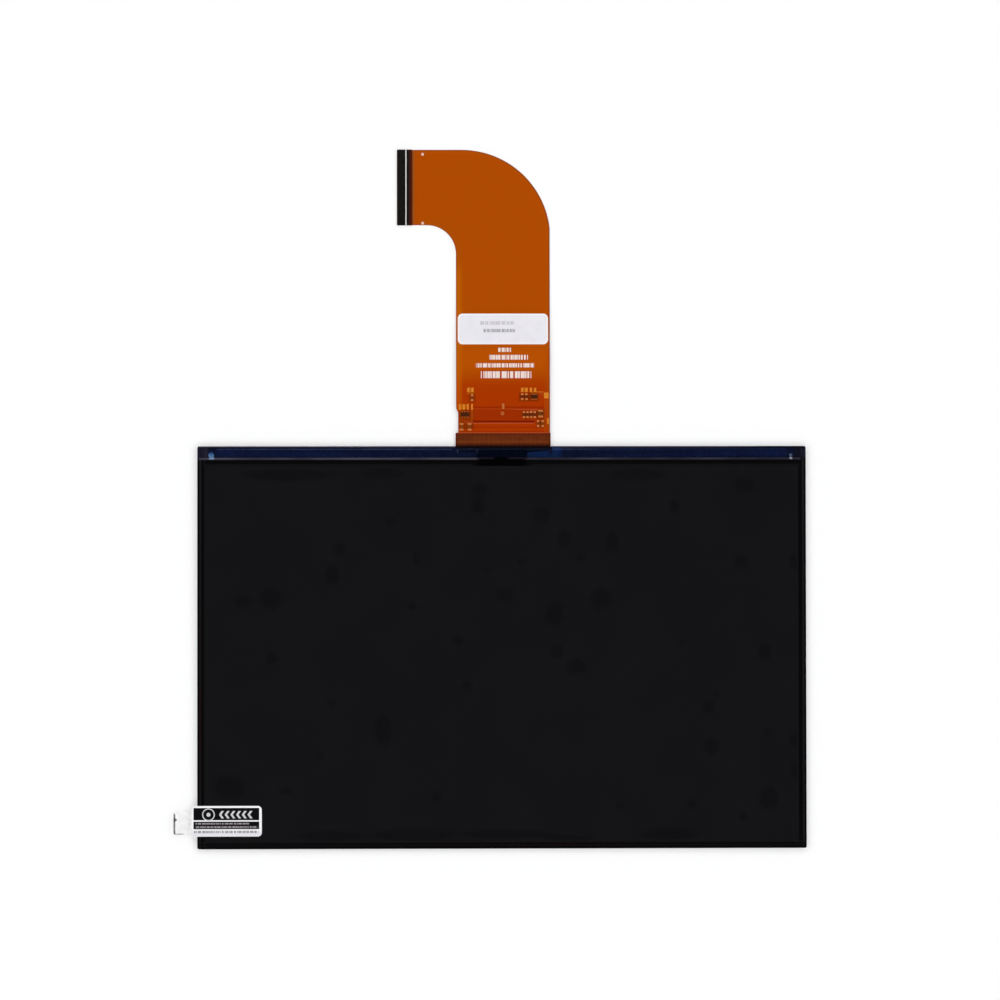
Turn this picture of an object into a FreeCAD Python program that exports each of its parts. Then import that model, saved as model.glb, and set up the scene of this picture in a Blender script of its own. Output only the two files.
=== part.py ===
import FreeCAD, Part
import math
import os
import Sketcher

# A bare liquid crystal panel with a flexible printed tail, lying on its rear face.
# Millimetres. The origin is the middle of the panel's outline, on the face that it rests on.
# +Z is the side that is looked at, and +Y runs from the panel towards the tail.

Vector = FreeCAD.Vector

# Driving sizes. Places on the tail are measured along X from its nearer side edge, or from its centre
# line where the name says centre or ring, and along Y from the edge where the front coverlay starts.
SIZES = [
    # Array glass, the full-size pane in front, and the ledge by which the pane behind is shorter
    ("panel_width", 203.5),
    ("panel_height", 134.4),
    ("array_thick", 0.5),
    ("ledge_depth", 4.0),
    ("corner_cut", 0.4),
    # Counter glass, with the printed mask and the seal that hold the crystal layer
    ("counter_thick", 0.5),
    ("mask_thick", 0.02),
    ("cell_gap", 0.05),
    ("seal_inset", 0.4),
    ("seal_width", 1.2),
    # Glass left round the picture area, and how far the polarisers reach past it
    ("active_side", 3.45),
    ("active_foot", 3.6),
    ("active_head", 3.9),
    ("polariser_side", 0.9),
    ("polariser_end", 1.3),
    ("polariser_thick", 0.13),
    ("film_thick", 0.06),
    # Wiring on the ledge, the driver chip under it, and what covers them
    ("wiring_margin", 0.8),
    ("wiring_thick", 0.02),
    ("bond_thick", 0.02),
    ("driver_length", 14.5),
    ("driver_width", 1.0),
    ("driver_thick", 0.25),
    ("driver_from_glass", 0.75),
    ("coating_dot_gap", 0.65),
    ("coating_thick", 0.12),
    ("coating_margin", 0.3),
    ("coating_clearance", 0.05),
    ("tape_width", 16.0),
    ("tape_thick", 0.06),
    ("tape_head_gap", 0.5),
    ("tape_on_glass", 2.4),
    ("dot_radius", 1.0),
    ("dot_height", 0.3),
    ("dot_inset", 4.6),
    # Flexible tail: its outline
    ("tail_centre", 0.4),
    ("tail_width", 31.4),
    ("tail_reach", 99.4),
    ("tip_reach", 19.75),
    ("outer_radius", 29.6),
    ("outer_corner", 6.6),
    ("inner_radius", 9.7),
    ("notch_depth", 0.7),
    ("notch_length", 8.2),
    ("notch_slope", 1.4),
    ("bare_length", 4.5),
    ("bare_flare", 0.2),
    ("bond_overlap", 1.5),
    # Flexible tail: its layers, and how it comes down to the surface
    ("base_thick", 0.08),
    ("cover_thick", 0.03),
    ("level_margin", 1.4),
    ("landing_margin", 3.4),
    ("spare", 1.0),
    # Bond fingers at the glass
    ("finger_count", 72),
    ("finger_width", 0.22),
    ("finger_thick", 0.02),
    ("finger_margin", 0.8),
    # Connector end
    ("contact_count", 50),
    ("contact_pitch", 0.5),
    ("contact_width", 0.35),
    ("contact_length", 4.0),
    ("contact_side", 0.2),
    ("insert_thick", 0.30),
    ("stiffener_length", 5.15),
    ("stiffener_lip", 0.1),
    ("stiffener_corner", 0.3),
    ("line_from_tip", 2.85),
    ("line_width", 0.35),
    ("line_thick", 0.02),
    ("mark_radius", 0.5),
    ("mark_from_tip", 8.6),
    ("mark_outer_edge", 1.45),
    ("mark_inner_edge", 0.65),
    # Blank label on the tail
    ("label_side", 0.6),
    ("label_height", 10.3),
    ("label_corner", 1.6),
    ("label_thick", 0.06),
    ("label_from_glass", 39.3),
    # Pull tab on the front film, and the printed sticker over it
    ("tab_overhang", 7.9),
    ("tab_length", 29.6),
    ("tab_height", 8.1),
    ("tab_corner", 0.8),
    ("tab_thick", 0.05),
    ("tab_from_foot", 8.9),
    ("sticker_overhang", 2.0),
    ("sticker_length", 23.5),
    ("sticker_height", 10.2),
    ("sticker_rise", 0.45),
    ("sticker_corner", 1.3),
    ("sticker_thick", 0.08),
    # Pads and the windows round them in the front coverlay
    ("window_gap", 0.08),
    ("pad_under", 0.3),
    ("pad_out", 0.35),
    ("chip_edge", 0.06),
    # Small chip parts, lying along Y
    ("part_width", 0.8),
    ("part_length", 1.6),
    ("part_height", 0.45),
    ("resistor_x", 6.9),
    ("resistor_y", 6.1),
    ("resistor_pitch", 1.2),
    ("resistor_count", 4),
    ("pair_x", 8.55),
    ("pair_y", 12.1),
    ("pair_pitch", 1.4),
    ("small_cap_x", 3.2),
    ("small_cap_y", 3.1),
    ("small_cap_pitch", 1.5),
    ("single_x", 5.35),
    ("single_y", 11.8),
    # Larger capacitors and the coil
    ("large_width", 1.25),
    ("large_length", 1.9),
    ("large_height", 0.6),
    ("large_x", 3.15),
    ("large_y", 2.0),
    ("large_pitch", 2.7),
    ("coil_width", 1.6),
    ("coil_length", 1.9),
    ("coil_height", 0.7),
    ("coil_x", 3.1),
    ("coil_y", 6.4),
    # Two leaded chips: body, leads, and where each sits
    ("chip_height", 0.55),
    ("lead_width", 0.3),
    ("lead_out", 0.35),
    ("lead_thick", 0.12),
    ("regulator_width", 2.9),
    ("regulator_depth", 1.4),
    ("regulator_x", 2.95),
    ("regulator_y", 6.15),
    ("regulator_pitch", 0.95),
    ("memory_width", 2.1),
    ("memory_depth", 1.3),
    ("memory_x", 5.3),
    ("memory_y", 12.1),
    ("memory_pitch", 0.65),
    ("lead_count", 3),
    # Bare test pads
    ("bar_width", 0.6),
    ("bar_length", 1.9),
    ("bar_x", 3.25),
    ("bar_y", 8.7),
    ("bar_pitch", 1.37),
    ("bar_count", 4),
    ("upper_width", 0.8),
    ("upper_length", 1.4),
    ("upper_y", 14.4),
    ("upper_left_x", 4.8),
    ("upper_far_x", 5.65),
    ("upper_pitch", 1.4),
    ("centre_pad_x", 0.05),
    ("centre_pad_y", 8.9),
    ("edge_pad_x", 0.65),
    ("edge_pad_y", 3.9),
    ("ring_x", -0.2),
    ("ring_y", 6.5),
    ("ring_radius", 0.6),
    ("ring_bore", 0.3),
    ("ground_width", 1.5),
    ("ground_length", 1.95),
    ("ground_x", 1.2),
    ("ground_y", 12.5),
]

doc = FreeCAD.newDocument("Panel")
sheet = doc.addObject("Spreadsheet::Sheet", "Sizes")
for row, (alias, size) in enumerate(SIZES, start=1):
    sheet.set("A%d" % row, alias)
    sheet.set("B%d" % row, str(size))
    sheet.setAlias("B%d" % row, alias)
doc.recompute()

# Plan lines of the panel
LEFT = "-Sizes.panel_width / 2"
RIGHT = "Sizes.panel_width / 2"
FOOT = "-Sizes.panel_height / 2"
HEAD = "Sizes.panel_height / 2"
COUNTER_HEAD = HEAD + " - Sizes.ledge_depth"
ACTIVE = (
    LEFT + " + Sizes.active_side",
    FOOT + " + Sizes.active_foot",
    RIGHT + " - Sizes.active_side",
    COUNTER_HEAD + " - Sizes.active_head",
)
POLARISER = (
    ACTIVE[0] + " - Sizes.polariser_side",
    ACTIVE[1] + " - Sizes.polariser_end",
    ACTIVE[2] + " + Sizes.polariser_side",
    ACTIVE[3] + " + Sizes.polariser_end",
)

# Heights, from the surface up to the front film
Z_REAR_POLARISER = "Sizes.film_thick"
Z_COUNTER = Z_REAR_POLARISER + " + Sizes.polariser_thick"
Z_MASK = Z_COUNTER + " + Sizes.counter_thick"
Z_SEAL = Z_MASK + " + Sizes.mask_thick"
Z_ARRAY = Z_MASK + " + Sizes.cell_gap"
Z_FRONT_POLARISER = Z_ARRAY + " + Sizes.array_thick"
Z_FRONT_FILM = Z_FRONT_POLARISER + " + Sizes.polariser_thick"
Z_TAB = Z_FRONT_FILM + " + Sizes.film_thick"
Z_STICKER = Z_TAB + " + Sizes.tab_thick"

# Heights under the ledge, from the array glass down
Z_WIRING = Z_ARRAY + " - Sizes.wiring_thick"
Z_BOND = Z_WIRING + " - Sizes.bond_thick"
Z_DRIVER = Z_BOND + " - Sizes.driver_thick"
Z_LEDGE_BASE_TOP = Z_BOND + " - Sizes.finger_thick"
Z_LEDGE_BASE = Z_LEDGE_BASE_TOP + " - Sizes.base_thick"
Z_LEDGE_TAIL = Z_LEDGE_BASE + " - Sizes.cover_thick"

# Heights inside the tail, above its own underside
TAIL_BASE = "Sizes.cover_thick"
TAIL_BASE_TOP = TAIL_BASE + " + Sizes.base_thick"
TAIL_TOP = TAIL_BASE_TOP + " + Sizes.cover_thick"
Z_PAD = Z_LEDGE_TAIL + " + " + TAIL_BASE_TOP
Z_PART = Z_LEDGE_TAIL + " + " + TAIL_TOP

# Plan lines of the tail
TAIL_LEFT = "Sizes.tail_centre - Sizes.tail_width / 2"
TAIL_RIGHT = "Sizes.tail_centre + Sizes.tail_width / 2"
COVER_START = HEAD + " + Sizes.bare_length"
TAIL_START = HEAD + " - Sizes.bond_overlap"
TAIL_END = HEAD + " + Sizes.tail_reach"
STUB_WIDTH = "(Sizes.contact_count - 1) * Sizes.contact_pitch + Sizes.contact_width + 2 * Sizes.contact_side"
STUB_LOW = TAIL_END + " - (" + STUB_WIDTH + ")"
TIP = TAIL_LEFT + " - Sizes.tip_reach"
DROP_START = COVER_START + " + Sizes.upper_y + Sizes.upper_length / 2 + Sizes.level_margin"
DROP_END = STUB_LOW + " - Sizes.inner_radius - Sizes.landing_margin"


def value(expression):
    """The number that an expression on the sheet comes to."""
    return float(sheet.evalExpression(expression))


def new_body(label, z="0", x="0", y="0"):
    """An empty body, raised to its height by its own placement."""
    body = doc.addObject("PartDesign::Body", label)
    body.setExpression("Placement.Base.x", x)
    body.setExpression("Placement.Base.y", y)
    body.setExpression("Placement.Base.z", z)
    return body


def new_sketch(body, name, role="XY_Plane", offset="0"):
    """A sketch on one of the body's own origin planes, moved along its normal by the offset."""
    plane = next(item for item in body.Origin.OriginFeatures if item.Role == role)
    sketch = body.newObject("Sketcher::SketchObject", name)
    sketch.AttachmentSupport = [(plane, "")]
    sketch.MapMode = "FlatFace"
    sketch.setExpression("AttachmentOffset.Base.z", offset)
    return sketch


def hold_point(sketch, edge, end, x, y):
    """Holds a point of the sketch at a place given by two expressions."""
    for kind, expression in (("DistanceX", x), ("DistanceY", y)):
        number = sketch.addConstraint(Sketcher.Constraint(kind, -1, 1, edge, end, value(expression)))
        sketch.setExpression("Constraints[%d]" % number, expression)


def hold_radius(sketch, edge, radius):
    number = sketch.addConstraint(Sketcher.Constraint("Radius", edge, value(radius)))
    sketch.setExpression("Constraints[%d]" % number, radius)


def arc_between(start, end, radius, turns_left):
    """The shorter arc of this radius from start to end, as a sketch keeps it."""
    chord = end - start
    middle = (start + end) * 0.5
    rise = math.sqrt(max(radius**2 - chord.Length**2 / 4, 0.0))
    side = Vector(-chord.y, chord.x, 0).normalize() * (rise if turns_left else -rise)
    centre = middle + side
    first, last = (start, end) if turns_left else (end, start)
    angles = [math.atan2(point.y - centre.y, point.x - centre.x) for point in (first, last)]
    return Part.ArcOfCircle(Part.Circle(centre, Vector(0, 0, 1), radius), angles[0], angles[1])


def add_outline(sketch, corners, arcs=None):
    """A closed outline through its corners, each held by two distances. arcs names the stretches that
    are round, by the corner where they start: their radius, and whether they turn left."""
    arcs = arcs or {}
    first = sketch.GeometryCount
    points = [Vector(value(x), value(y), 0) for x, y in corners]
    ends = []
    for index, start in enumerate(points):
        end = points[(index + 1) % len(points)]
        if index in arcs:
            radius, turns_left = arcs[index]
            sketch.addGeometry(arc_between(start, end, value(radius), turns_left), False)
            ends.append((1, 2) if turns_left else (2, 1))
        else:
            sketch.addGeometry(Part.LineSegment(start, end), False)
            ends.append((1, 2))
    for index in range(len(points)):
        following = (index + 1) % len(points)
        joint = Sketcher.Constraint(
            "Coincident", first + index, ends[index][1], first + following, ends[following][0]
        )
        sketch.addConstraint(joint)
    for index, (x, y) in enumerate(corners):
        hold_point(sketch, first + index, ends[index][0], x, y)
    for index, (radius, turns_left) in arcs.items():
        hold_radius(sketch, first + index, radius)


def add_circle(sketch, x, y, radius):
    circle = Part.Circle(Vector(value(x), value(y), 0), Vector(0, 0, 1), value(radius))
    edge = sketch.addGeometry(circle, False)
    hold_point(sketch, edge, 3, x, y)
    hold_radius(sketch, edge, radius)


def box_corners(left, low, right, high):
    return [(left, low), (right, low), (right, high), (left, high)]


def centred_box(x, y, width, length):
    """Left, low, right and high of a rectangle about a centre, wide along X and long along Y."""
    return (
        "%s - (%s) / 2" % (x, width),
        "%s - (%s) / 2" % (y, length),
        "%s + (%s) / 2" % (x, width),
        "%s + (%s) / 2" % (y, length),
    )


def pad(body, sketch, length, name):
    feature = body.newObject("PartDesign::Pad", name)
    feature.Profile = sketch
    feature.setExpression("Length", length)
    return feature


def pocket_through(body, sketch, name):
    """Cuts the sketch through everything above its plane."""
    feature = body.newObject("PartDesign::Pocket", name)
    feature.Profile = sketch
    feature.Type = "ThroughAll"
    feature.Reversed = True
    return feature


def upright_edges(shape):
    """Names of the straight edges that stand along Z."""
    names = []
    for number, edge in enumerate(shape.Edges, start=1):
        start, end = edge.firstVertex().Point, edge.lastVertex().Point
        if math.hypot(end.x - start.x, end.y - start.y) < 1e-6 < abs(end.z - start.z):
            names.append("Edge%d" % number)
    return names


def round_corners(body, feature, radius, kind="Fillet"):
    """Rounds or bevels the upright corners of a plate."""
    doc.recompute()
    corner = body.newObject("PartDesign::" + kind, "Corners")
    corner.Base = (feature, upright_edges(feature.Shape))
    corner.setExpression("Radius" if kind == "Fillet" else "Size", radius)
    return corner


def add_plate(label, box, z, thick):
    """A flat rectangular sheet: its body, and the pad that makes it."""
    body = new_body(label, z)
    sketch = new_sketch(body, label + "_outline")
    add_outline(sketch, box_corners(*box))
    return body, pad(body, sketch, thick, label + "_sheet")


def repeat_along(body, feature, role, length, count, name):
    """A straight row of copies along one of the body's own axes."""
    doc.recompute()
    row = body.newObject("PartDesign::LinearPattern", name)
    row.Originals = [feature]
    row.Direction = (next(item for item in body.Origin.OriginFeatures if item.Role == role), [""])
    row.setExpression("Length", length)
    row.setExpression("Occurrences", count)
    body.Tip = row
    return row


# Glass cell


def make_counter_glass():
    body, sheet_pad = add_plate(
        "counter_glass", (LEFT, FOOT, RIGHT, COUNTER_HEAD), Z_COUNTER, "Sizes.counter_thick"
    )
    round_corners(body, sheet_pad, "Sizes.corner_cut", "Chamfer")
    return body


def make_array_glass():
    body, sheet_pad = add_plate("array_glass", (LEFT, FOOT, RIGHT, HEAD), Z_ARRAY, "Sizes.array_thick")
    round_corners(body, sheet_pad, "Sizes.corner_cut", "Chamfer")
    return body


def inset_cell(inset):
    """The counter glass's outline, moved in on all four sides."""
    return (
        LEFT + " + " + inset,
        FOOT + " + " + inset,
        RIGHT + " - " + inset,
        COUNTER_HEAD + " - " + inset,
    )


def make_border_mask():
    """Black border printed on the counter glass, open over the picture area."""
    body, sheet_pad = add_plate("border_mask", inset_cell("Sizes.seal_inset"), Z_MASK, "Sizes.mask_thick")
    window = new_sketch(body, "picture_window")
    add_outline(window, box_corners(*ACTIVE))
    pocket_through(body, window, "picture_opening")
    return body


def make_seal_frame():
    """Line of sealant that joins the two panes all round."""
    body, line = add_plate(
        "seal_frame",
        inset_cell("Sizes.seal_inset"),
        Z_SEAL,
        "Sizes.cell_gap - Sizes.mask_thick",
    )
    inside = new_sketch(body, "crystal_space")
    add_outline(inside, box_corners(*inset_cell("(Sizes.seal_inset + Sizes.seal_width)")))
    pocket_through(body, inside, "crystal_opening")
    return body


def make_liquid_crystal():
    """Crystal layer: it fills the seal's inside, and the mask's window below that."""
    body, layer = add_plate(
        "liquid_crystal",
        inset_cell("(Sizes.seal_inset + Sizes.seal_width)"),
        Z_SEAL,
        "Sizes.cell_gap - Sizes.mask_thick",
    )
    window = new_sketch(body, "window_fill", offset="-Sizes.mask_thick")
    add_outline(window, box_corners(*ACTIVE))
    pad(body, window, "Sizes.mask_thick", "window_layer")
    return body


def make_polariser_stack():
    """A polariser on each face, each under the protective film that it is delivered with."""
    layers = (
        ("rear_protective_film", "0", "Sizes.film_thick"),
        ("rear_polariser", Z_REAR_POLARISER, "Sizes.polariser_thick"),
        ("front_polariser", Z_FRONT_POLARISER, "Sizes.polariser_thick"),
        ("front_protective_film", Z_FRONT_FILM, "Sizes.film_thick"),
    )
    return [add_plate(label, POLARISER, z, thick)[0] for label, z, thick in layers]


# Ledge


def make_ledge_wiring():
    """Thin metal tracks on the array glass's inner face, fanned out along the ledge."""
    box = (
        LEFT + " + Sizes.wiring_margin",
        COUNTER_HEAD,
        RIGHT + " - Sizes.wiring_margin",
        HEAD + " - Sizes.coating_margin",
    )
    return add_plate("ledge_wiring", box, Z_WIRING, "Sizes.wiring_thick")[0]


DRIVER_LOW = COUNTER_HEAD + " + Sizes.driver_from_glass"
DRIVER_HIGH = DRIVER_LOW + " + Sizes.driver_width"
DRIVER_BOX = ("-Sizes.driver_length / 2", DRIVER_LOW, "Sizes.driver_length / 2", DRIVER_HIGH)
BOND_ZONE = (
    TAIL_LEFT + " - Sizes.bare_flare",
    TAIL_START,
    TAIL_RIGHT + " + Sizes.bare_flare",
    HEAD + " - Sizes.coating_margin",
)


def make_driver_chip():
    return add_plate("driver_chip", DRIVER_BOX, Z_DRIVER, "Sizes.driver_thick")[0]


def make_bond_films():
    """Conductive glue films: one joins the driver chip to the tracks, the other joins the tail."""
    chip_film = add_plate("chip_bond_film", DRIVER_BOX, Z_BOND, "Sizes.bond_thick")[0]
    tail_film = add_plate("tail_bond_film", BOND_ZONE, Z_BOND, "Sizes.bond_thick")[0]
    return chip_film, tail_film


def grow(box, margin):
    left, low, right, high = box
    return (
        "%s - (%s)" % (left, margin),
        "%s - (%s)" % (low, margin),
        "%s + (%s)" % (right, margin),
        "%s + (%s)" % (high, margin),
    )


def make_ledge_coating():
    """Blue silicone run along the ledge over the tracks, round the chip and up to the tail."""
    past_dot = "Sizes.dot_inset + Sizes.dot_radius + Sizes.coating_dot_gap"
    box = (
        LEFT + " + " + past_dot,
        COUNTER_HEAD,
        RIGHT + " - (" + past_dot + ")",
        HEAD + " - Sizes.coating_margin",
    )
    body, run = add_plate(
        "ledge_coating", box, Z_WIRING + " - Sizes.coating_thick", "Sizes.coating_thick"
    )
    holes = new_sketch(body, "chip_and_tail")
    add_outline(holes, box_corners(*grow(DRIVER_BOX, "Sizes.coating_clearance")))
    left, low, right, high = grow(BOND_ZONE, "Sizes.coating_clearance")
    add_outline(holes, box_corners(left, low, right, HEAD))
    pocket_through(body, holes, "room_for_chip_and_tail")
    return body


def make_light_shield_tape():
    """Black tape that goes over the driver chip, down the counter glass's edge and under that glass."""
    body = new_body("light_shield_tape")
    side = new_sketch(body, "tape_side", "YZ_Plane")
    head = HEAD + " - Sizes.bond_overlap - Sizes.tape_head_gap"
    drop = COUNTER_HEAD + " + Sizes.tape_thick"
    tail_end = COUNTER_HEAD + " - Sizes.tape_on_glass"
    corners = [
        (tail_end, Z_COUNTER + " - Sizes.tape_thick"),
        (drop, Z_COUNTER + " - Sizes.tape_thick"),
        (drop, Z_DRIVER + " - Sizes.tape_thick"),
        (head, Z_DRIVER + " - Sizes.tape_thick"),
        (head, Z_DRIVER),
        (COUNTER_HEAD, Z_DRIVER),
        (COUNTER_HEAD, Z_COUNTER),
        (tail_end, Z_COUNTER),
    ]
    add_outline(side, corners)
    strip = pad(body, side, "Sizes.tape_width", "tape_strip")
    strip.SideType = "Symmetric"
    return body


def make_ground_paste_dots():
    """Dots of silver paste in the ledge's two ends, against the counter glass's edge."""
    body = new_body("ground_paste_dots", Z_WIRING + " - Sizes.dot_height")
    plan = new_sketch(body, "dots_plan")
    dot_y = COUNTER_HEAD + " + Sizes.dot_radius"
    add_circle(plan, LEFT + " + Sizes.dot_inset", dot_y, "Sizes.dot_radius")
    add_circle(plan, RIGHT + " - Sizes.dot_inset", dot_y, "Sizes.dot_radius")
    pad(body, plan, "Sizes.dot_height", "dots")
    return body


# Flexible tail


def tail_film_outline():
    """Corners and arcs of the tail's plan, from the coverlay's start round to the connector end."""
    outer_y = TAIL_END + " - Sizes.outer_radius"
    outer_x = TAIL_RIGHT + " - Sizes.outer_radius * cos(Sizes.outer_corner)"
    inner_x = TAIL_LEFT + " - Sizes.inner_radius"
    notch_x = TAIL_LEFT + " + Sizes.notch_depth"
    notch_y = COVER_START + " + Sizes.notch_length"
    corners = [
        (TAIL_RIGHT, COVER_START),
        (TAIL_RIGHT, outer_y + " + Sizes.outer_radius * sin(Sizes.outer_corner)"),
        (outer_x, TAIL_END),
        (TIP, TAIL_END),
        (TIP, STUB_LOW),
        (inner_x, STUB_LOW),
        (TAIL_LEFT, STUB_LOW + " - Sizes.inner_radius"),
        (TAIL_LEFT, notch_y),
        (notch_x, notch_y + " - Sizes.notch_slope"),
        (notch_x, COVER_START),
    ]
    arcs = {1: ("Sizes.outer_radius", True), 5: ("Sizes.inner_radius", False)}
    return corners, arcs


def make_tail_plan(name, with_bond_zone):
    """The tail's plan as a tall block, which the thin side profile is cut with."""
    body = new_body(name, "-Sizes.spare")
    sketch = new_sketch(body, name + "_outline")
    corners, arcs = tail_film_outline()
    add_outline(sketch, corners, arcs)
    tall = Z_PART + " + 2 * Sizes.spare"
    pad(body, sketch, tall, name + "_block")
    if with_bond_zone:
        zone = new_sketch(body, name + "_zone")
        left, low, right, high = BOND_ZONE
        add_outline(zone, box_corners(left, low, right, COVER_START))
        pad(body, zone, tall, name + "_bond_block")
    return body


def make_tail_profile(name, low, high, start):
    """One layer seen from the side: level at the glass, then down to the surface in two equal arcs.
    low and high are the layer's faces, measured up from the tail's underside."""
    body = new_body(name)
    side = new_sketch(body, name + "_side", "YZ_Plane")
    run = "(%s - (%s))" % (DROP_END, DROP_START)
    turn = "2 * atan((%s) / %s)" % (Z_LEDGE_TAIL, run)
    radius = "%s / (2 * sin(%s))" % (run, turn)
    middle_y = "%s + %s / 2" % (DROP_START, run)
    middle_z = "(%s) / 2" % Z_LEDGE_TAIL

    def face(level):
        """Start, end of the level stretch, middle of the drop, landing and end, at one level."""
        lean_y = "(%s) * sin(%s)" % (level, turn)
        lean_z = "(%s) * cos(%s)" % (level, turn)
        return [
            (start, "%s + %s" % (Z_LEDGE_TAIL, level)),
            (DROP_START, "%s + %s" % (Z_LEDGE_TAIL, level)),
            ("%s + %s" % (middle_y, lean_y), "%s + %s" % (middle_z, lean_z)),
            (DROP_END, level),
            (TAIL_END + " + Sizes.spare", level),
        ]

    lower, upper = face(low), face(high)
    corners = lower + upper[::-1]
    arcs = {
        1: ("%s + (%s)" % (radius, low), False),
        2: ("%s - (%s)" % (radius, low), True),
        6: ("%s - (%s)" % (radius, high), False),
        7: ("%s + (%s)" % (radius, high), True),
    }
    add_outline(side, corners, arcs)
    layer = pad(body, side, "2 * (Sizes.tip_reach + Sizes.tail_width)", name + "_width")
    layer.SideType = "Symmetric"
    return body


def combine(kind, label, base, tool):
    result = doc.addObject("Part::" + kind, label)
    result.Base = base
    result.Tool = tool
    return result


def make_base_film():
    """Orange polyimide core that carries the copper, from under the glass to the connector's tip."""
    plan = make_tail_plan("base_plan", True)
    side = make_tail_profile("base_profile", TAIL_BASE, TAIL_BASE_TOP, TAIL_START)
    return combine("Common", "tail_base_film", side, plan)


def make_front_coverlay(windows):
    """Orange cover film on the front: it stops short of the glass, and is open over every pad."""
    plan = make_tail_plan("front_cover_plan", False)
    side = make_tail_profile("front_cover_profile", TAIL_BASE_TOP, TAIL_TOP, COVER_START)
    whole = combine("Common", "front_cover_whole", side, plan)
    return combine("Cut", "tail_front_coverlay", whole, windows)


def make_rear_coverlay():
    """Cover film on the underside: it leaves the contact fingers bare."""
    plan = make_tail_plan("rear_cover_plan", True)
    side = make_tail_profile("rear_cover_profile", "0", TAIL_BASE, TAIL_START)
    whole = combine("Common", "rear_cover_whole", side, plan)
    bare = new_body("bare_tip", "-Sizes.spare")
    sketch = new_sketch(bare, "bare_tip_outline")
    left = TIP + " - Sizes.spare"
    right = TIP + " + Sizes.contact_length + Sizes.window_gap"
    add_outline(sketch, box_corners(left, STUB_LOW + " - Sizes.spare", right, TAIL_END + " + Sizes.spare"))
    pad(bare, sketch, "2 * Sizes.spare", "bare_tip_block")
    return combine("Cut", "tail_rear_coverlay", whole, bare)


def make_bond_fingers():
    """Bare copper fingers from the coverlay's edge to under the glass, evenly spaced over the tail."""
    left = TAIL_LEFT + " - Sizes.bare_flare + Sizes.finger_margin - Sizes.finger_width / 2"
    box = (left, TAIL_START, left + " + Sizes.finger_width", COVER_START)
    body, finger = add_plate("bond_fingers", box, Z_LEDGE_BASE_TOP, "Sizes.finger_thick")
    span = "Sizes.tail_width + 2 * Sizes.bare_flare - 2 * Sizes.finger_margin"
    repeat_along(body, finger, "X_Axis", span, "Sizes.finger_count", "finger_row")
    return body


def make_contact_fingers():
    """Gold-plated fingers on the underside of the connector end."""
    low = STUB_LOW + " + Sizes.contact_side"
    box = (TIP, low, TIP + " + Sizes.contact_length", low + " + Sizes.contact_width")
    body, finger = add_plate("contact_fingers", box, "0", "Sizes.cover_thick")
    span = "(Sizes.contact_count - 1) * Sizes.contact_pitch"
    repeat_along(body, finger, "Y_Axis", span, "Sizes.contact_count", "contact_row")
    return body


STIFFENER_BOX = (
    TIP,
    STUB_LOW + " - Sizes.stiffener_lip",
    TIP + " + Sizes.stiffener_length",
    TAIL_END + " + Sizes.stiffener_lip",
)
STIFFENER_THICK = "Sizes.insert_thick - (" + TAIL_TOP + ")"


def make_stiffener():
    """Black stiffener on the front, which brings the end up to the connector's thickness."""
    body, sheet_pad = add_plate("connector_stiffener", STIFFENER_BOX, TAIL_TOP, STIFFENER_THICK)
    round_corners(body, sheet_pad, "Sizes.stiffener_corner")
    return body


def make_insertion_line():
    """White line across the stiffener that shows how deep it goes into its connector."""
    left = TIP + " + Sizes.line_from_tip"
    box = (left, STIFFENER_BOX[1], left + " + Sizes.line_width", STIFFENER_BOX[3])
    return add_plate("insertion_line", box, "Sizes.insert_thick", "Sizes.line_thick")[0]


def make_tail_label():
    """Blank white label, stuck to the front coverlay where the tail slopes down."""
    plan = new_body("label_plan", "-Sizes.spare")
    sketch = new_sketch(plan, "label_outline")
    centre_y = HEAD + " + Sizes.label_from_glass"
    label_width = "Sizes.tail_width - 2 * Sizes.label_side"
    add_outline(
        sketch,
        box_corners(*centred_box("Sizes.tail_centre", centre_y, label_width, "Sizes.label_height")),
    )
    block = pad(plan, sketch, Z_PART + " + 2 * Sizes.spare", "label_block")
    round_corners(plan, block, "Sizes.label_corner")
    top = TAIL_TOP + " + Sizes.label_thick"
    side = make_tail_profile("label_profile", TAIL_TOP, top, COVER_START)
    return combine("Common", "tail_label", side, plan)


# Parts on the tail


def from_left(x, y):
    """A place on the tail, from its left edge and from where the front coverlay starts."""
    return TAIL_LEFT + " + " + x, COVER_START + " + " + y


def from_right(x, y):
    """A place on the tail, from its right edge and from where the front coverlay starts."""
    return TAIL_RIGHT + " - " + x, COVER_START + " + " + y


def from_centre(x, y):
    """A place on the tail, from its centre line and from where the front coverlay starts."""
    return "Sizes.tail_centre + " + x, COVER_START + " + " + y


def row_about(place, pitch, count):
    """Centres of a row along X, about its own middle."""
    x, y = place
    return [("%s + %.1f * %s" % (x, index - (count - 1) / 2, pitch), y) for index in range(count)]


PAIR_COUNT = 2
RESISTORS = row_about(
    from_right("Sizes.resistor_x", "Sizes.resistor_y"),
    "Sizes.resistor_pitch",
    int(value("Sizes.resistor_count")),
) + row_about(from_right("Sizes.pair_x", "Sizes.pair_y"), "Sizes.pair_pitch", PAIR_COUNT)
SMALL_CAPACITORS = row_about(
    from_right("Sizes.small_cap_x", "Sizes.small_cap_y"), "Sizes.small_cap_pitch", PAIR_COUNT
) + [from_left("Sizes.single_x", "Sizes.single_y")]
LARGE_CAPACITORS = row_about(from_left("Sizes.large_x", "Sizes.large_y"), "Sizes.large_pitch", PAIR_COUNT)
COIL = [from_right("Sizes.coil_x", "Sizes.coil_y")]
LEADED_CHIPS = {
    "regulator": from_left("Sizes.regulator_x", "Sizes.regulator_y"),
    "memory": from_right("Sizes.memory_x", "Sizes.memory_y"),
}
BARS = row_about(from_left("Sizes.bar_x", "Sizes.bar_y"), "Sizes.bar_pitch", int(value("Sizes.bar_count")))
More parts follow.
